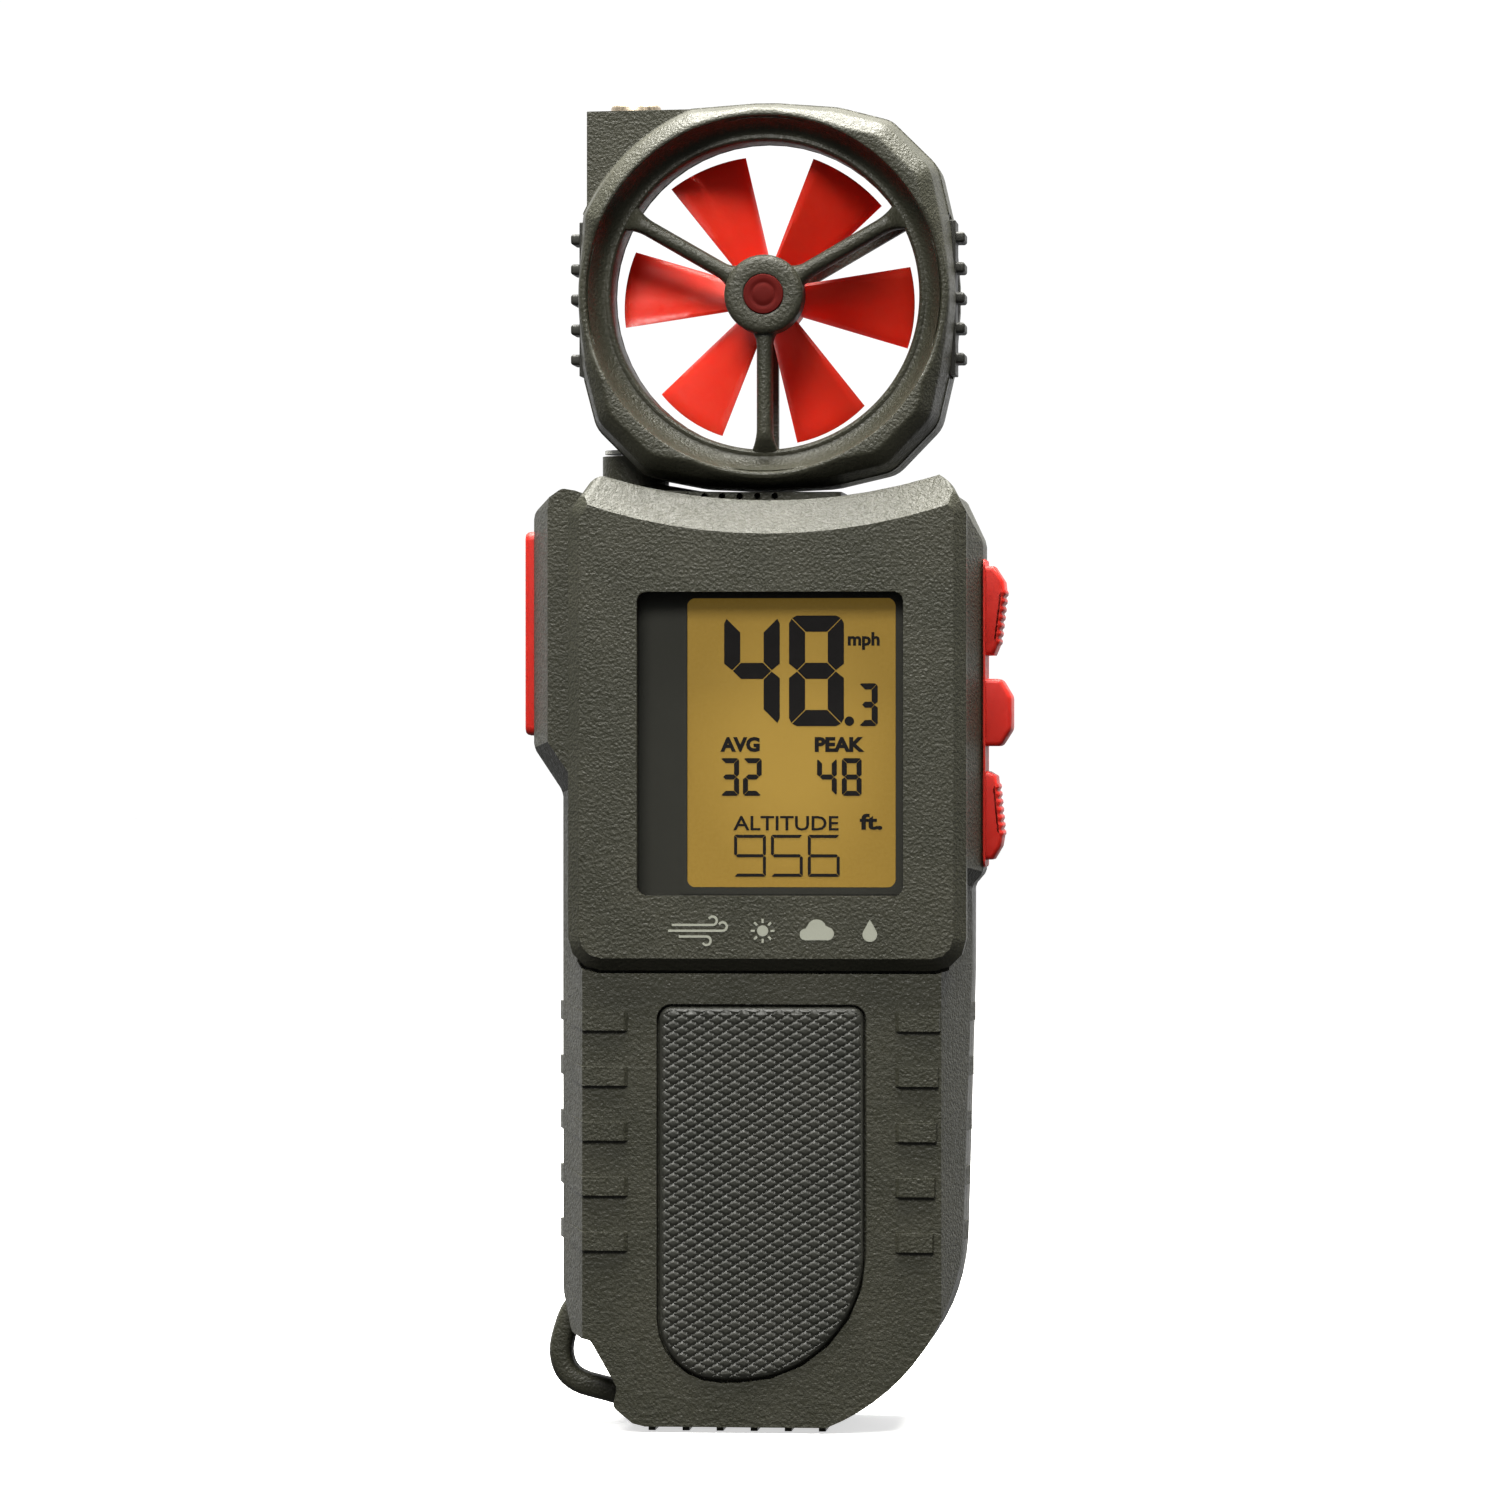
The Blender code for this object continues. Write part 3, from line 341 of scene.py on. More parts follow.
def inset(outline, distance):
    area = sum(a[0] * b[1] - b[0] * a[1] for a, b in zip(outline, outline[1:] + outline[:1]))
    side = distance if area > 0 else -distance
    moved = []
    for before, here, after in zip(outline[-1:] + outline[:-1], outline, outline[1:] + outline[:1]):
        n1 = Vector((before[1] - here[1], here[0] - before[0])).normalized()
        n2 = Vector((here[1] - after[1], after[0] - here[0])).normalized()
        shift = (n1 + n2) / (1 + n1.dot(n2)) * side
        moved.append((here[0] + shift.x, here[1] + shift.y))
    return moved


# ---------------------------------------------------------------- meshes

def to_space(plane, u, v, w):
    """A point from an outline's (u, v) and the depth w, in millimetres."""
    return {"XZ": (u, w, v), "XY": (u, v, w), "YZ": (w, u, v)}[plane]


def baked(made):
    """The mesh of an object with its modifiers applied."""
    bpy.context.view_layer.update()
    return bpy.data.meshes.new_from_object(made.evaluated_get(bpy.context.evaluated_depsgraph_get()))


def finished(name, shape, paint, body, replaces=(), sharp=35):
    """Makes a piece of a bmesh and lets it ride on its body."""
    bmesh.ops.recalc_face_normals(shape, faces=shape.faces)
    mesh = bpy.data.meshes.new(name)
    shape.to_mesh(mesh)
    shape.free()
    mesh.materials.append(paint)
    mesh.shade_smooth()
    mesh.set_sharp_from_angle(angle=math.radians(sharp))
    piece = bpy.data.objects.new(name, mesh)
    bpy.context.scene.collection.objects.link(piece)
    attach(piece, body)
    if replaces:
        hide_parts(*replaces)
    return piece


def loft(shape, rings, wrap_rings=False, wrap_points=True, caps=True):
    """Joins rings of points, in millimetres, with quads."""
    rows = [[shape.verts.new([c * MM for c in point]) for point in ring] for ring in rings]
    pairs = list(zip(rows, rows[1:])) + ([(rows[-1], rows[0])] if wrap_rings else [])
    for a, b in pairs:
        count = len(a)
        for i in range(count if wrap_points else count - 1):
            k = (i + 1) % count
            shape.faces.new((a[i], a[k], b[k], b[i]))
    if caps and not wrap_rings:
        shape.faces.new(rows[0][::-1])
        shape.faces.new(rows[-1])
    return rows


def prism(shape, outline, levels, plane="XZ"):
    """Stacked copies of a closed outline at (depth, inset) levels, closed at both ends."""
    rings = []
    for depth, margin in levels:
        flat = inset(outline, margin) if margin else outline
        rings.append([to_space(plane, u, v, depth) for u, v in flat])
    loft(shape, rings)


def revolve(shape, profile, centre, steps=48, axis="Y"):
    """A (radius, height) profile turned about an axis, open ends closed with caps."""
    rings = []
    for radius, height in profile:
        ring = []
        for i in range(steps):
            a = 2 * math.pi * i / steps
            u, v = radius * math.cos(a), radius * math.sin(a)
            if axis == "Y":
                ring.append((centre[0] + u, centre[1] + height, centre[2] + v))
            else:
                ring.append((centre[0] + u, centre[1] + v, centre[2] + height))
        rings.append(ring)
    loft(shape, rings)


def squared_circle(steps, power):
    """A unit circle's points, drawn out towards the corners of a square by a power below one."""
    points = []
    for k in range(steps):
        a = 2 * math.pi * k / steps
        u = math.copysign(abs(math.cos(a)) ** power, math.cos(a))
        v = math.copysign(abs(math.sin(a)) ** power, math.sin(a))
        points.append((u, v))
    return points


def rolled(front, back, radius, steps):
    """Levels of a prism with both edges rolled over."""
    turn = [math.pi / 2 * i / steps for i in range(steps + 1)]
    low = [(front + radius * (1 - math.sin(a)), radius * (1 - math.cos(a))) for a in reversed(turn)]
    high = [(back - radius * (1 - math.sin(a)), radius * (1 - math.cos(a))) for a in turn]
    return low + high


# Angles, in degrees: where a CAD node's edge is rolled over, and where a refined piece stays sharp.
CREASE_ANGLE = 25
REFINED_SHARP = 50


def refined(node, paint, width, segments=2, corners=()):
    """A finer copy of a CAD node: its edges rolled over, and its flat faces shaded flat.

    Corners are (x, z, reach, radius): the edges that run from front to back there are rounded first.
    """
    body = NODES[node]["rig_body"]
    shape = bmesh.new()
    shape.from_mesh(NODES[node].data)
    bmesh.ops.remove_doubles(shape, verts=shape.verts, dist=2e-6)
    bmesh.ops.dissolve_limit(shape, angle_limit=math.radians(0.5), verts=shape.verts, edges=shape.edges)

    def creases():
        return [e for e in shape.edges
                if len(e.link_faces) == 2 and e.calc_face_angle(0) > math.radians(CREASE_ANGLE)]

    def roll(edges, offset, steps):
        bmesh.ops.bevel(shape, geom=edges, offset=offset * MM, segments=steps, affect="EDGES", profile=0.5,
                        clamp_overlap=True, loop_slide=True)

    for x, z, reach_out, radius in corners:
        near = [e for e in creases()
                if abs(e.verts[0].co.y - e.verts[1].co.y) > 0.6 * e.calc_length()
                and all(math.hypot(v.co.x - x * MM, v.co.z - z * MM) < reach_out * MM for v in e.verts)]
        roll(near, radius, 4)
    roll(creases(), width, segments)
    piece = finished(node + "_piece", shape, paint, body, [node], REFINED_SHARP)
    flat = piece.modifiers.new("flat_faces", "WEIGHTED_NORMAL")
    flat.keep_sharp = True
    flat.weight = 100
    solid = baked(piece)
    piece.modifiers.clear()
    piece.data = solid


def dress(paint, *nodes):
    """Gives CAD nodes that keep their own shape a finer material."""
    for node in nodes:
        NODES[node].data.materials.clear()
        NODES[node].data.materials.append(paint)


# ---------------------------------------------------------------- handle

def lattice_pad():
    """The grip pad: a rolled-edge pad whose face is cut into rows of small diamonds."""
    outline = rounded([(-13.3, 55.3, 1.6), (13.3, 55.3, 1.6), (13.3, 6.9, 16.4), (-13.3, 6.9, 7.8)], step=6)
    top = -13.45
    base = bmesh.new()
    levels = [(-12.0, 0), (-12.7, 0), (-13.0, 0.08), (-13.25, 0.30), (-13.38, 0.60), (top, 1.1)]
    prism(base, outline, levels)
    body = finished("grip_pad_diamonds", base, RUBBER, "handle", ["grip_pad"], 40)
    # A diamond's width and height, the grid's steps in each, and the field that the grid covers.
    wide, tall = 2.29, 1.41
    across, along = 12, 8
    left, bottom, field_wide, field_tall = -14.0, 6.0, 28, 50
    columns = int(field_wide / wide * across)
    rows = int(field_tall / tall * along)
    behind = -11.0
    groove_share, groove_depth, crown = 0.17, 0.27, 0.03
    cutter = bmesh.new()
    rings = []
    for j in range(rows + 1):
        z = bottom + tall * j / along
        ring = [(left, behind, z)]
        for i in range(columns + 1):
            x = left + wide * i / across
            u = x / wide + z / tall
            v = x / wide - z / tall
            near = min(abs(u - round(u)), abs(v - round(v)))
            rise = min(1.0, near / groove_share)
            ring.append((x, top + 0.01 + groove_depth * (1 - rise * (2 - rise)) - crown * near, z))
        ring.append((ring[-1][0], behind, z))
        rings.append(ring)
    loft(cutter, rings)
    tool = finished("pad_cutter", cutter, RUBBER, "handle")
    step = body.modifiers.new("diamonds", "BOOLEAN")
    step.object = tool
    step.operation = "INTERSECT"
    step.solver = "MANIFOLD"
    solid = baked(body)
    body.modifiers.clear()
    body.data = solid
    solid.shade_smooth()
    solid.set_sharp_from_angle(angle=math.radians(50))
    bpy.data.objects.remove(tool, do_unlink=True)


def lanyard_loop():
    """A thick rounded bail at the lower left corner, its ends let into the handle."""
    corners = [Vector(corner) for corner in (
        (-24.4, 16.4), (-26.0, 14.9), (-27.15, 11.8), (-27.5, 9.3), (-26.8, 7.0), (-25.0, 5.5), (-21.5, 4.5),
        (-17.2, 3.4),
    )]
    half_width, half_depth = 1.55, 2.5
    last = len(corners) - 1
    steps = 8
    # A Catmull-Rom curve through the corners.
    line = []
    for i in range(last):
        p0, p1, p2, p3 = [corners[min(max(k, 0), last)] for k in (i - 1, i, i + 1, i + 2)]
        for k in range(steps):
            t = k / steps
            line.append(0.5 * (2 * p1 + (p2 - p0) * t + (2 * p0 - 5 * p1 + 4 * p2 - p3) * t * t
                               + (3 * p1 - p0 - 3 * p2 + p3) * t ** 3))
    line.append(corners[-1])
    section = [(u * half_width, v * half_depth) for u, v in squared_circle(24, 0.6)]
    rings = []
    for i, here in enumerate(line):
        run = (line[min(i + 1, len(line) - 1)] - line[max(i - 1, 0)]).normalized()
        side = Vector((-run.y, run.x))
        rings.append([(here.x + side.x * u, v, here.y + side.y * u) for u, v in section])
    shape = bmesh.new()
    loft(shape, rings)
    finished("lanyard_bail", shape, SHELL, "handle", ["lanyard_loop"], 60)


def serrated(a, b, teeth, height):
    """Points from a to b with small teeth standing out on the +X side."""
    run = Vector(b) - Vector(a)
    out = Vector((run.y, -run.x)).normalized()
    if out.x < 0:
        out = -out
    points = []
    for i in range(teeth):
        for share, lift in ((0.0, 0.0), (0.28, 1.0), (0.62, 1.0), (0.9, 0.0)):
            point = Vector(a) + run * (i + share) / teeth + out * height * lift
            points.append((point.x, point.y))
    points.append(b)
    return points


def keys():
    """The three keys and the web behind them on the right, and the long button on the left."""
    edges = rolled(-4.0, 4.0, 0.6, 4)
    root = 24.2
    teeth, tooth = 7, 0.22
    top = [(root, 100.9), (root, 112.7), (29.7, 112.6), (31.0, 110.6),
           *serrated((31.1, 109.6), (30.2, 102.2), teeth, tooth), (29.7, 101.0)]
    bottom = [(root, 74.1), (root, 85.9), (29.0, 85.8), (30.0, 85.2),
              *serrated((30.1, 84.3), (30.8, 77.2), teeth, tooth), (30.6, 76.0), (29.6, 74.3)]
    middle = rounded([(root, 89.1), (root, 97.9), (30.6, 97.9, 0.8), (32.0, 95.6, 1.2), (32.0, 91.3, 1.2),
                      (30.6, 89.1, 0.8)], 20)
    for name, outline in (("key_top", top), ("key_bottom", bottom), ("key_middle", middle)):
        shape = bmesh.new()
        prism(shape, outline, edges)
        finished(name + "_cap", shape, RED, name.replace("key_", "") + "_key", [name], 45)
    web = bmesh.new()
    web_levels = [(28.35, 0), (28.5, 0), (28.6, 0.1)]
    prism(web, box_outline(-4.9, 4.9, 73.3, 113.5, 1.0), web_levels, "YZ")
    finished("keypad_web_piece", web, RED, "handle", ["keypad_web"])
    long = bmesh.new()
    long_levels = [(-26.6, 0), (-31.3, 0), (-31.7, 0.12), (-31.93, 0.35), (-32.0, 0.7)]
    prism(long, box_outline(-3.5, 3.5, 90.5, 117.3, 1.2), long_levels, "YZ")
    finished("side_button_cap", long, RED, "long_button", ["side_button"], 45)


def polygon_slabs(name, shapes, front, back, paint):
    """Thin raised marks: each shape is one closed outline."""
    shape = bmesh.new()
    for outline in shapes:
        loft(shape, [[(x, back, z) for x, z in outline], [(x, front, z) for x, z in outline]])
    finished(name, shape, paint, "handle")


# The lit segments of each digit: a at the top, then clockwise to f, and g in the middle.
SEGMENTS = {
    "0": "abcdef", "1": "bc", "2": "abged", "3": "abgcd", "4": "fgbc",
    "5": "afgcd", "6": "afgedc", "7": "abc", "8": "abcdefg", "9": "abcdfg",
}


def digit(character, x0, x1, z0, z1, stroke, gap):
    """The lit segments of one seven-segment digit."""
    middle = (z0 + z1) / 2
    half = stroke / 2
    round_off = stroke * 0.45
    shapes = []
    for segment in SEGMENTS[character]:
        if segment in "ad":
            z, way = (z1, -1) if segment == "a" else (z0, 1)
            shapes.append([
                (x0 + gap + round_off, z), (x1 - gap - round_off, z),
                (x1 - gap - round_off / 3, z + way * round_off / 3), (x1 - stroke - gap, z + way * stroke),
                (x0 + stroke + gap, z + way * stroke), (x0 + gap + round_off / 3, z + way * round_off / 3),
            ])
        elif segment == "g":
            shapes.append([
                (x0 + half + gap, middle), (x0 + stroke + gap, middle + half),
                (x1 - stroke - gap, middle + half), (x1 - half - gap, middle),
                (x1 - stroke - gap, middle - half), (x0 + stroke + gap, middle - half),
            ])
        else:
            outer, inner = (x1, x1 - stroke) if segment in "bc" else (x0, x0 + stroke)
            far, way = (z1, -1) if segment in "bf" else (z0, 1)
            turn = 1 if segment in "bc" else -1
            shapes.append([
                (outer, far + way * (gap + round_off)),
                (outer - turn * round_off / 3, far + way * (gap + round_off / 3)),
                (inner, far + way * (stroke + gap)), (inner, middle - way * (half + gap)),
                (outer - turn * half, middle - way * gap), (outer, middle - way * (half * 0.8 + gap)),
            ])
    return shapes


def number(text, x0, x1, z0, z1, stroke, gap, between):
    """Seven-segment digits that share a box."""
    wide = (x1 - x0 - between * (len(text) - 1)) / len(text)
    shapes = []
    for i, character in enumerate(text):
        left = x0 + i * (wide + between)
        shapes += digit(character, left, left + wide, z0, z1, stroke, gap)
    return shapes


def word(name, text, x0, x1, z0, z1, bold):
    """A unit or label on the display, fitted to its box."""
    curve = bpy.data.curves.new(name, "FONT")
    curve.body = text
    curve.offset = bold
    curve.resolution_u = 3
    flat = bpy.data.objects.new(name + "_flat", curve)
    bpy.context.scene.collection.objects.link(flat)
    mesh = baked(flat)
    bpy.data.objects.remove(flat, do_unlink=True)
    shape = bmesh.new()
    shape.from_mesh(mesh)
    bmesh.ops.remove_doubles(shape, verts=shape.verts, dist=1e-6)
    low = [min(v.co[k] for v in shape.verts) for k in (0, 1)]
    high = [max(v.co[k] for v in shape.verts) for k in (0, 1)]
    for vert in shape.verts:
        across = (vert.co.x - low[0]) / (high[0] - low[0])
        up = (vert.co.y - low[1]) / (high[1] - low[1])
        vert.co = ((x0 + (x1 - x0) * across) * MM, (LCD_FACE - 0.01) * MM, (z0 + (z1 - z0) * up) * MM)
    raised = bmesh.ops.extrude_face_region(shape, geom=list(shape.faces))
    for vert in (g for g in raised["geom"] if isinstance(g, bmesh.types.BMVert)):
        vert.co.y -= 0.04 * MM
    finished(name, shape, INK, "handle")


def display():
    """The display's reading: wind speed, its average and peak, and the altitude."""
    shapes = number("4", -5.0, 2.25, 91.7, 106.05, 2.1, 0.09, 0)
    shapes += number("8", 3.45, 10.6, 91.7, 106.05, 2.1, 0.09, 0)
    shapes += number("3", 12.5, 15.0, 91.7, 97.25, 0.80, 0.05, 0)
    shapes += number("32", -5.5, -0.1, 82.65, 87.55, 0.66, 0.04, 0.50)
    shapes += number("48", 7.1, 12.9, 82.65, 87.55, 0.66, 0.04, 0.65)
    shapes += number("956", -3.7, 10.05, 72.15, 77.6, 0.40, 0.04, 0.65)
    shapes.append(arc(11.3, 92.35, 0.62, 0, 342, 19))
    polygon_slabs("lcd_digits", shapes, LCD_FACE - 0.05, LCD_FACE - 0.005, INK)
    word("label_speed", "mph", 11.1, 15.25, 101.6, 103.9, 0.035)
    word("label_average", "AVG", -5.5, -0.35, 88.35, 90.3, 0.05)
    word("label_peak", "PEAK", 6.8, 13.3, 88.35, 90.3, 0.05)
    word("label_height", "ALTITUDE", -3.8, 9.9, 78.15, 80.05, 0.012)
    word("label_unit", "ft.", 12.65, 15.6, 78.25, 80.35, 0.035)


def display_border():
    """The thin dark border round the amber glass, with rounded inner corners."""
    x0, x1, z0, z1 = LCD_LIMITS
    outer = box_outline(x0 - 0.6, x1 + 0.6, z0 - 0.6, z1 + 0.6, 0.5)
    inner = box_outline(x0 + 0.25, x1 - 0.25, z0 + 0.25, z1 - 0.25, 1.2)
    front, back = LCD_FACE - 0.28, LCD_FACE - 0.06
    rings = [[(x, depth, z) for x, z in outline]
             for outline, depth in ((outer, front), (inner, front), (inner, back), (outer, back))]
    shape = bmesh.new()
    loft(shape, rings, wrap_rings=True)
    finished("lcd_border", shape, STRIP, "handle")


def stroke_band(points, width):
    """A flat band of even width along a line."""
    left, right = [], []
    for i, point in enumerate(points):
        before = Vector(points[max(i - 1, 0)])
        after = Vector(points[min(i + 1, len(points) - 1)])
        run = (after - before).normalized()
        side = Vector((-run.y, run.x)) * width / 2
        here = Vector(point)
        left.append(tuple(here + side))
        right.append(tuple(here - side))
    return left + right[::-1]


def icons():
    """A printed row of plain weather signs under the display: gusts, a sun, a cloud and a drop."""
    shapes = []
    middle = 65.2
    for rise, start, end, curl in ((0.75, -11.5, -6.2, 1), (0.0, -12.0, -4.9, 1), (-0.75, -10.6, -7.0, -1)):
        line = [(start + (end - start) * i / 10, middle + rise) for i in range(11)]
        line += arc(end, middle + rise + curl * 0.55, 0.55, -90 * curl, 150 * curl, 10)[1:]
        shapes.append(stroke_band(line, 0.30))
    sun = 0.3
    shapes.append(arc(sun, middle, 0.72, 0, 345, 23))
    for k in range(8):
        a = math.radians(45 * k)
        start, end = [(sun + r * math.cos(a), middle + r * math.sin(a)) for r in (1.02, 1.55)]
        shapes.append(stroke_band([start, end], 0.28))
    cloud = 7.2
    shapes.append(arc(cloud - 1.35, middle - 0.45, 0.75, 90, 270, 12)
                  + arc(cloud + 1.5, middle - 0.35, 0.85, -90, 75, 12)
                  + arc(cloud + 0.1, middle + 0.25, 1.25, 20, 160, 16))
    drop = 14.2
    shapes.append([(drop, middle + 1.5)] + arc(drop, middle - 0.45, 0.95, 150, 390, 20))
    polygon_slabs("weather_signs", shapes, PLATE_FACE - 0.06, PLATE_FACE + 0.02, PRINT)


# ---------------------------------------------------------------- head

def head_outline():
    """The front half of the head seen from the front, about the hub."""
    right = [(9.4, 24.7, 8), (16.4, 22.9, 3), (22.5, 16.9, 4), (24.2, 9.5, 10), (25.0, 0, 20),
             (24.2, -9.5, 10), (22.5, -16.9, 4), (16.6, -23.0, 4), (8.5, -24.9, 8)]
    left = [(-8.5, -24.9, 8), (-16.2, -23.4, 4), (-22.4, -17.2, 4), (-24.4, -9.5, 10), (-25.0, 0, 20)]
    corner = [(x, z, 0) for x, z in arc(0, 0, 26.6, 156, 112, 20)]
    return rounded(right + [(0, -25.3, 20)] + left + corner + [(0, 25.4, 20)], step=6)


def reach(outline, angle):
    """How far the outline is from the hub in one direction."""
    way = Vector((math.cos(angle), math.sin(angle)))
    best = 0.0
    for a, b in zip(outline, outline[1:] + outline[:1]):
        edge = Vector(b) - Vector(a)
        cross = way.x * edge.y - way.y * edge.x
        if abs(cross) < 1e-9:
            continue
        far = (a[0] * edge.y - a[1] * edge.x) / cross
        share = (a[0] * way.y - a[1] * way.x) / cross
        if -1e-6 <= share <= 1 + 1e-6 and far > best:
            best = far
    return best


def ring_section(radius, angle):
    """(radius, depth) points round the head's ring at one angle: side, sloped rim, face, cove, lip, bore."""
    grip_half_height, grip_floor = 10.4, 23.6
    groove = radius
    if abs(math.sin(angle) * radius) < grip_half_height:
        groove = min(radius, grip_floor / abs(math.cos(angle)))
    brow = radius - min(1.0, (radius - BEZEL) * 0.4)
    slope = min(2.0, brow - BEZEL - 0.5)
    face = -9.7 - 0.9 * slope
    return [
        (groove, HEAD_SEAM), (groove, -4.6), (radius - 0.15, -4.65), (brow + 0.12, -8.6), (brow, -9.3),
        (brow - 0.10, -9.6), (brow - 0.30, -9.85), (brow - slope + 0.25, face + 0.16),
        (brow - slope, face + 0.02), (brow - slope - 0.2, face),
        (BEZEL + 0.30, face), (BEZEL + 0.10, face + 0.05), (BEZEL - 0.05, face + 0.22),
        (BEZEL - 0.12, face + 0.5), (BEZEL - 0.25, -9.95), (22.72, -9.3), (22.35, -8.6), (21.95, -8.05),
        (21.5, -7.6), (21.2, -7.42), (21.0, -7.4), (20.78, -7.5), (20.55, -7.52), (20.33, -7.4),
        (20.17, -7.15), (APERTURE, -6.8), (APERTURE, -1.6), (20.35, HEAD_SEAM),
    ]


def around_hub(angle, radius, depth):
    return (radius * math.cos(angle), depth, HUB_Z + radius * math.sin(angle))


def spoke_rings(angle):
    """Sections of a rounded bar from the hub to the ring: wider at both ends, and sunk into the cove."""
    inner, outer = 4.4, 21.9
    width = 2.1
    front, back = -9.3, -5.4
    # How much wider it grows at each end, and over what length.
    flare_in, flare_out = (0.9, 2.4), (2.0, 4.6)
    dive_start, dive_length, dive_depth = 18.2, 3.4, 2.3
    section = squared_circle(20, 0.72)
    turn = math.radians(angle)
    along = Vector((math.cos(turn), 0, math.sin(turn)))
    side = Vector((-math.sin(turn), 0, math.cos(turn)))
    rings = []
    steps = 36
    for i in range(steps + 1):
        share = i / steps
        radius = inner + (outer - inner) * share
        near = max(0.0, 1 - (radius - inner) / flare_in[1])
        far = max(0.0, 1 - (outer - radius) / flare_out[1])
        half = width / 2 + flare_in[0] * near ** 2.2 + flare_out[0] * far ** 2.2
        dive = min(1.0, max(0.0, (radius - dive_start) / dive_length))
        face = front + dive_depth * dive * dive * (3 - 2 * dive)
        middle, deep = (face + back) / 2, (back - face) / 2
        ring = []
        for u, v in section:
            place = along * radius + side * half * u
            ring.append((place.x, middle + deep * v, HUB_Z + place.z))
        rings.append(ring)
    return rings


def head_front():
    """The front ring with its three spokes and hub, and the red disc on the hub."""
    outline = head_outline()
    shape = bmesh.new()
    rings = []
    steps = 288
    for i in range(steps):
        angle = 2 * math.pi * (i + 0.5) / steps
        section = ring_section(reach(outline, angle), angle)
        rings.append([around_hub(angle, radius, depth) for radius, depth in section])
    loft(shape, rings, wrap_rings=True)
    for angle in SPOKE_ANGLES:
        loft(shape, spoke_rings(angle))
    hub = [(1.2, -5.4), (5.0, -5.4), (5.17, -5.6), (5.17, -9.3), (5.10, -9.65), (4.90, -9.93), (4.62, -10.1),
           (4.25, -10.19), (2.85, -10.25), (2.7, -10.2), (2.66, -10.0), (1.2, -10.0)]
    revolve(shape, hub, (0, 0, HUB_Z), 64)
    finished("head_front_ring", shape, SHELL, "head", ["head_front_shell"], 30)
    disc = bmesh.new()
    revolve(disc, [(2.6, -9.8), (2.6, -10.18), (2.5, -10.28), (2.2, -10.31), (1.75, -10.31), (1.6, -10.24),
                   (1.45, -10.24), (1.3, -10.32), (0.8, -10.36), (0.3, -10.38)], (0, 0, HUB_Z), 48)
    finished("hub_disc", disc, BADGE, "head", ["hub_badge"])


def cap():
    """The domed cap over the thermistor."""
    low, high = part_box("sensor_cap")
    centre = ((low.x + high.x) / 2 / MM, (low.y + high.y) / 2 / MM, 0)
    shape = bmesh.new()
    top = high.z / MM
    profile = [(3.3, top - 2.2), (3.3, top - 0.6), (3.2, top - 0.35), (2.95, top - 0.17),
               (2.5, top - 0.08), (1.7, top - 0.03), (0.5, top)]
    revolve(shape, profile, centre, 56, "Z")
    finished("sensor_cap_dome", shape, TAN, "head", ["sensor_cap"], 40)


def blade_rings(index):
    """Closed sections of one twisted blade, from the hub to the tip."""
    rings = []
    along, across = 18, 14
    start, root, tip = 3.0, 4.4, 19.1
    root_chord, tip_span = 4.0, math.radians(31.5)
    first_angle = -4.0
    for i in range(along + 1):
        radius = start + (tip - start) * i / along
        grown = max(0.0, (radius - root) / (tip - root))
        chord = root_chord + (tip_span * tip - root_chord) * grown
        lean = 2.5 + 0.4 * grown
        thick = 0.42 + 0.18 * (1 - grown)
        round_tip = 0.35 if i == along else 1.0
        front, rear = [], []
        for k in range(across + 1):
            side = -1 + 2 * k / across
            angle = math.radians(first_angle + 60 * index) + side * chord / 2 / radius
            depth = -side * lean + 0.5 * (1 - side * side) * grown
            edge = math.sqrt(max(0.0, 1 - abs(side) ** 10)) * thick * round_tip
            front.append(around_hub(angle, radius, depth - edge - 0.03))
            rear.append(around_hub(angle, radius, depth + edge + 0.03))
        rings.append(front + rear[::-1])
    return rings


def impeller():
    """Six blades on a hub with rounded rims."""
    shape = bmesh.new()
    for index in range(6):
        loft(shape, blade_rings(index))
    hub = [(1.3, 4.2), (4.3, 4.2), (4.6, 3.9), (4.6, -4.0), (4.45, -4.4), (4.1, -4.6), (1.3, -4.6)]
    revolve(shape, hub, (0, 0, HUB_Z), 56)
    finished("impeller_wheel", shape, BLADE, "rotor", ["impeller"], 40)


# ---------------------------------------------------------------- assembly

refined("front_shell", SHELL, 0.28)
refined("rear_shell", SHELL, 0.28)
refined("display_bezel", PLATE, 0.55, 3,
        corners=[(-21.9, 122.0, 3.4, 1.3), (24.4, 122.0, 2.0, 1.0)])
refined("head_rear_shell", SHELL, 0.30)
refined("swivel_base", SHELL, 0.12)
refined("battery_door", SHELL, 0.15)
refined("head_grip_left", NUBS, 0.12)
refined("head_grip_right", NUBS, 0.12)
refined("lcd_frame", STRIP, 0.15)
lattice_pad()
lanyard_loop()
keys()
display()
display_border()
icons()
head_front()
cap()
impeller()
dress(GLASS, "display_window")
dress(LCD, "lcd_panel")
dress(WHITE, "backlight_panel", "humidity_sensor", "friction_washer")
dress(BOARD, "main_board")
dress(BLACK, "processor_chip", "switch_top", "switch_middle", "switch_bottom", "switch_side", "speed_sensor",
      "thermistor", "impeller_magnet")
dress(BATTERY, "battery_left", "battery_right")
dress(BRASS, "contact_plate_left", "contact_plate_right", "front_bearing", "rear_bearing")
dress(STEEL, "contact_spring_left", "contact_spring_right", "pressure_sensor", "impeller_shaft", "swivel_pin",
      "swivel_nut", *[f"case_screw_{i}" for i in range(1, 5)], *[f"head_screw_{i}" for i in range(1, 4)])


# ---------------------------------------------------------------- studio

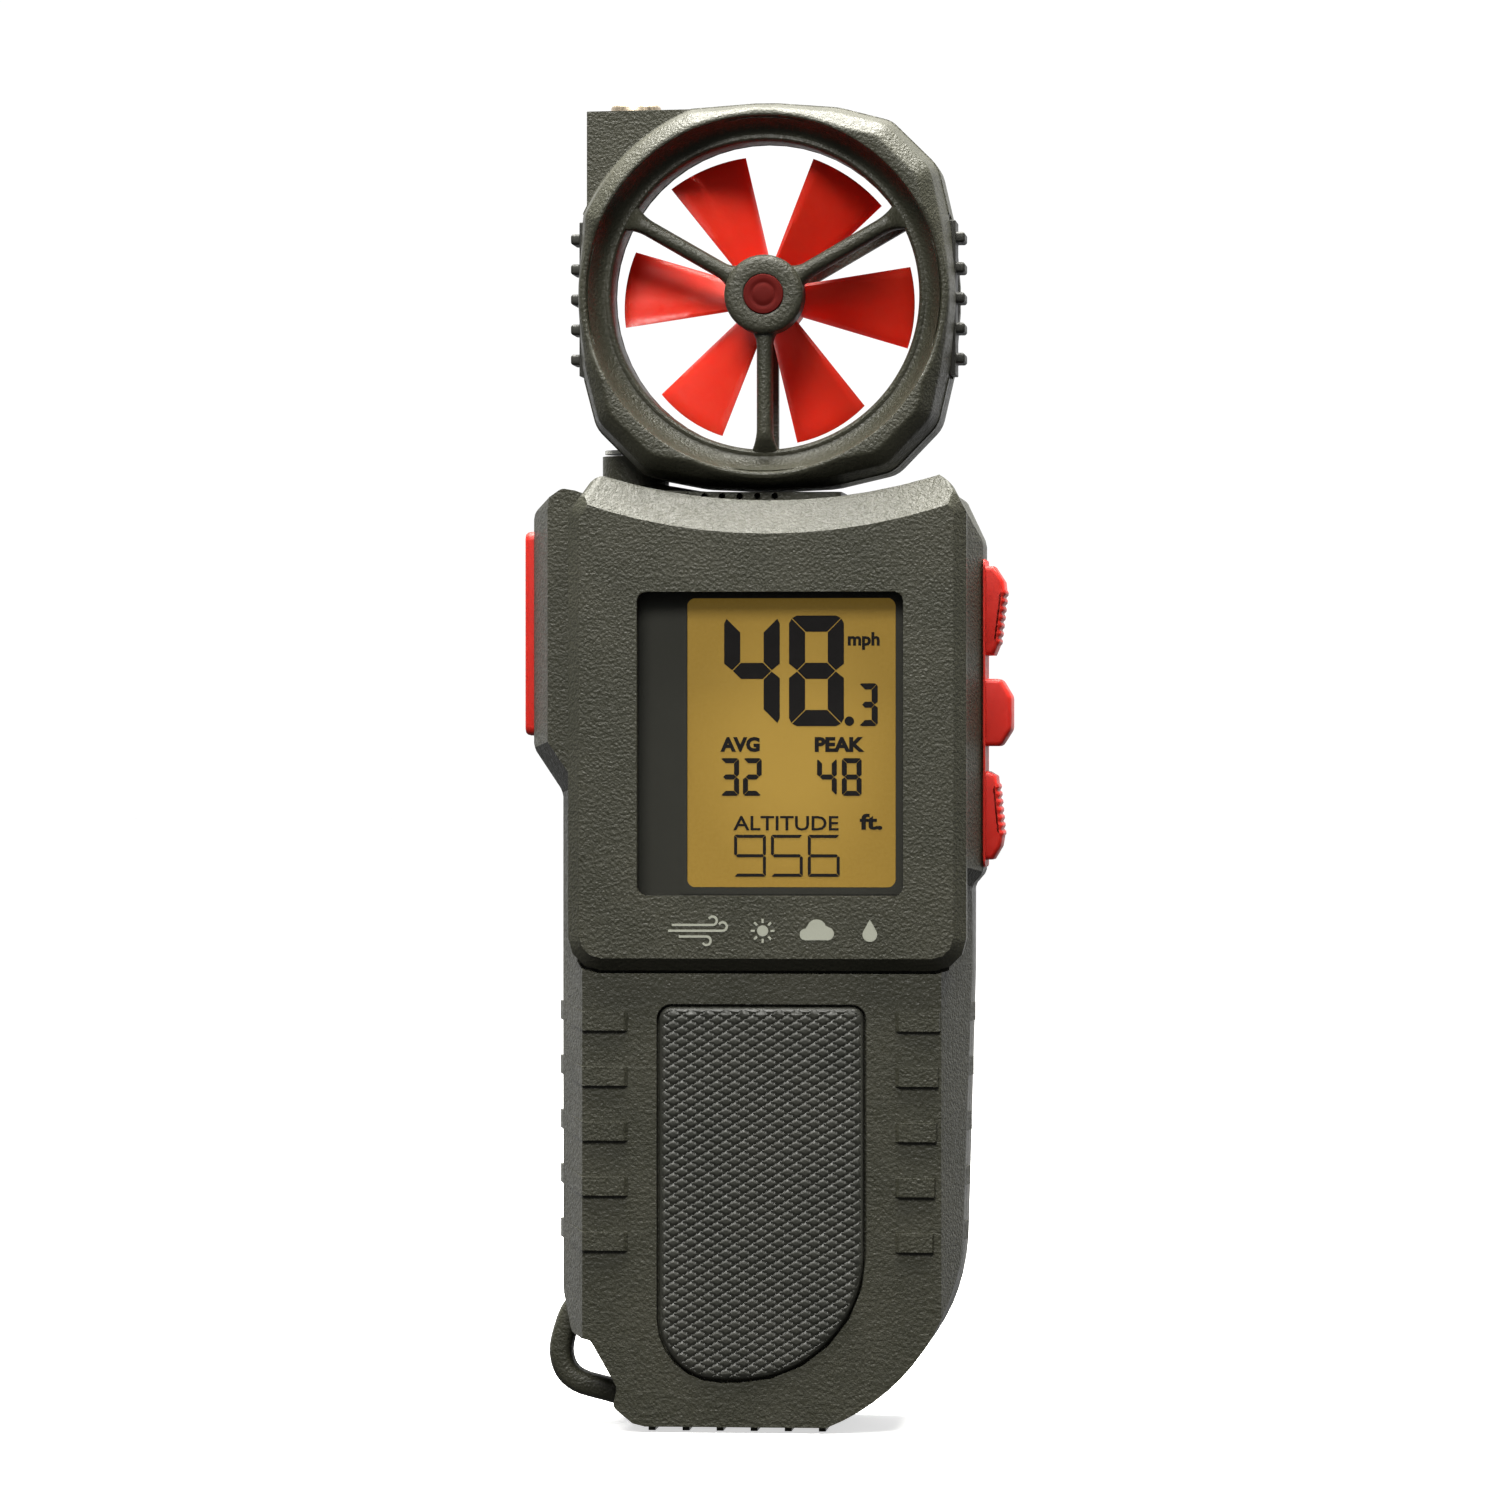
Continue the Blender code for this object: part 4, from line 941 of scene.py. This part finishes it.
def ground():
    """A wide pale floor, which throws no light back onto the meter."""
    floor_radius = 8.0
    floor_shape = bmesh.new()
    bmesh.ops.create_circle(floor_shape, cap_ends=True, segments=96, radius=floor_radius)
    mesh = bpy.data.meshes.new("floor")
    floor_shape.to_mesh(mesh)
    floor_shape.free()
    paint = Paint("floor_white", Emission_Color=(1, 1, 1, 1), Emission_Strength=0.62)
    paint.colour(paint.mix(paint.noise(6, 2), (0.84, 0.84, 0.84), (0.87, 0.87, 0.87)))
    paint.rough(paint.noise(40, 2), 0.75, 0.85)
    mesh.materials.append(paint.material)
    floor = bpy.data.objects.new("floor", mesh)
    bpy.context.scene.collection.objects.link(floor)
    floor.visible_diffuse = False
    floor.visible_glossy = False


def surroundings():
    """Dim in front of the meter, bright behind it, and dimmer again below the floor's level."""
    world = bpy.data.worlds.new("studio")
    bpy.context.scene.world = world
    world.use_nodes = True
    tree = world.node_tree
    way = tree.nodes.new("ShaderNodeSeparateXYZ")
    place = tree.nodes.new("ShaderNodeTexCoord")
    tree.links.new(place.outputs["Generated"], way.inputs["Vector"])
    ramp = tree.nodes.new("ShaderNodeValToRGB")
    shift = tree.nodes.new("ShaderNodeMath")
    shift.operation = "MULTIPLY_ADD"
    shift.inputs[1].default_value = 0.5
    shift.inputs[2].default_value = 0.5
    tree.links.new(way.outputs["Y"], shift.inputs[0])
    tree.links.new(shift.outputs[0], ramp.inputs["Fac"])
    above = tree.nodes.new("ShaderNodeMapRange")
    above.inputs["From Min"].default_value = -0.25
    above.inputs["From Max"].default_value = -0.03
    above.inputs["To Min"].default_value = 0.28
    above.inputs["To Max"].default_value = 1.0
    tree.links.new(way.outputs["Z"], above.inputs["Value"])
    ramp.color_ramp.elements[0].position = 0.45
    ramp.color_ramp.elements[0].color = (0.16, 0.16, 0.158, 1)
    ramp.color_ramp.elements[1].position = 0.92
    ramp.color_ramp.elements[1].color = (1.05, 1.05, 1.05, 1)
    background = tree.nodes["Background"]
    tree.links.new(ramp.outputs["Color"], background.inputs["Color"])
    tree.links.new(above.outputs["Result"], background.inputs["Strength"])


def soft_light(name, place, target, size, power, colour=(1, 1, 1)):
    lamp = bpy.data.lights.new(name, "AREA")
    lamp.shape = "RECTANGLE"
    lamp.size, lamp.size_y = size
    lamp.energy = power
    lamp.color = colour
    holder = bpy.data.objects.new(name, lamp)
    bpy.context.scene.collection.objects.link(holder)
    holder.location = place
    holder.rotation_mode = "QUATERNION"
    holder.rotation_quaternion = (Vector(target) - Vector(place)).to_track_quat("-Z", "Y")


def camera():
    """Faces the display, a little to its right, with the whole meter in a square frame."""
    turn = math.radians(5)
    distance = 0.9
    across = 0.1972
    aside, height = -0.0026, 0.0886
    middle = Vector((aside * math.cos(turn), aside * math.sin(turn), height))
    away = Vector((math.sin(turn), -math.cos(turn), 0))
    lens = bpy.data.cameras.new("camera")
    lens.sensor_width = 36
    lens.lens = 36 * distance / across
    lens.clip_start = 0.05
    lens.clip_end = 50
    holder = bpy.data.objects.new("camera", lens)
    bpy.context.scene.collection.objects.link(holder)
    holder.location = middle + away * distance
    holder.rotation_mode = "QUATERNION"
    holder.rotation_quaternion = (-away).to_track_quat("-Z", "Y")
    bpy.context.scene.camera = holder


ground()
surroundings()
soft_light("overhead", (0.0, 0.05, 0.95), (0, 0, 0.09), (0.9, 0.6), 50, (1.0, 0.985, 0.92))
soft_light("front_top", (-0.15, -0.85, 0.85), (0, 0, 0.07), (0.6, 0.35), 13, (1.0, 0.99, 0.95))
camera()
bpy.context.scene.view_settings.view_transform = "Standard"
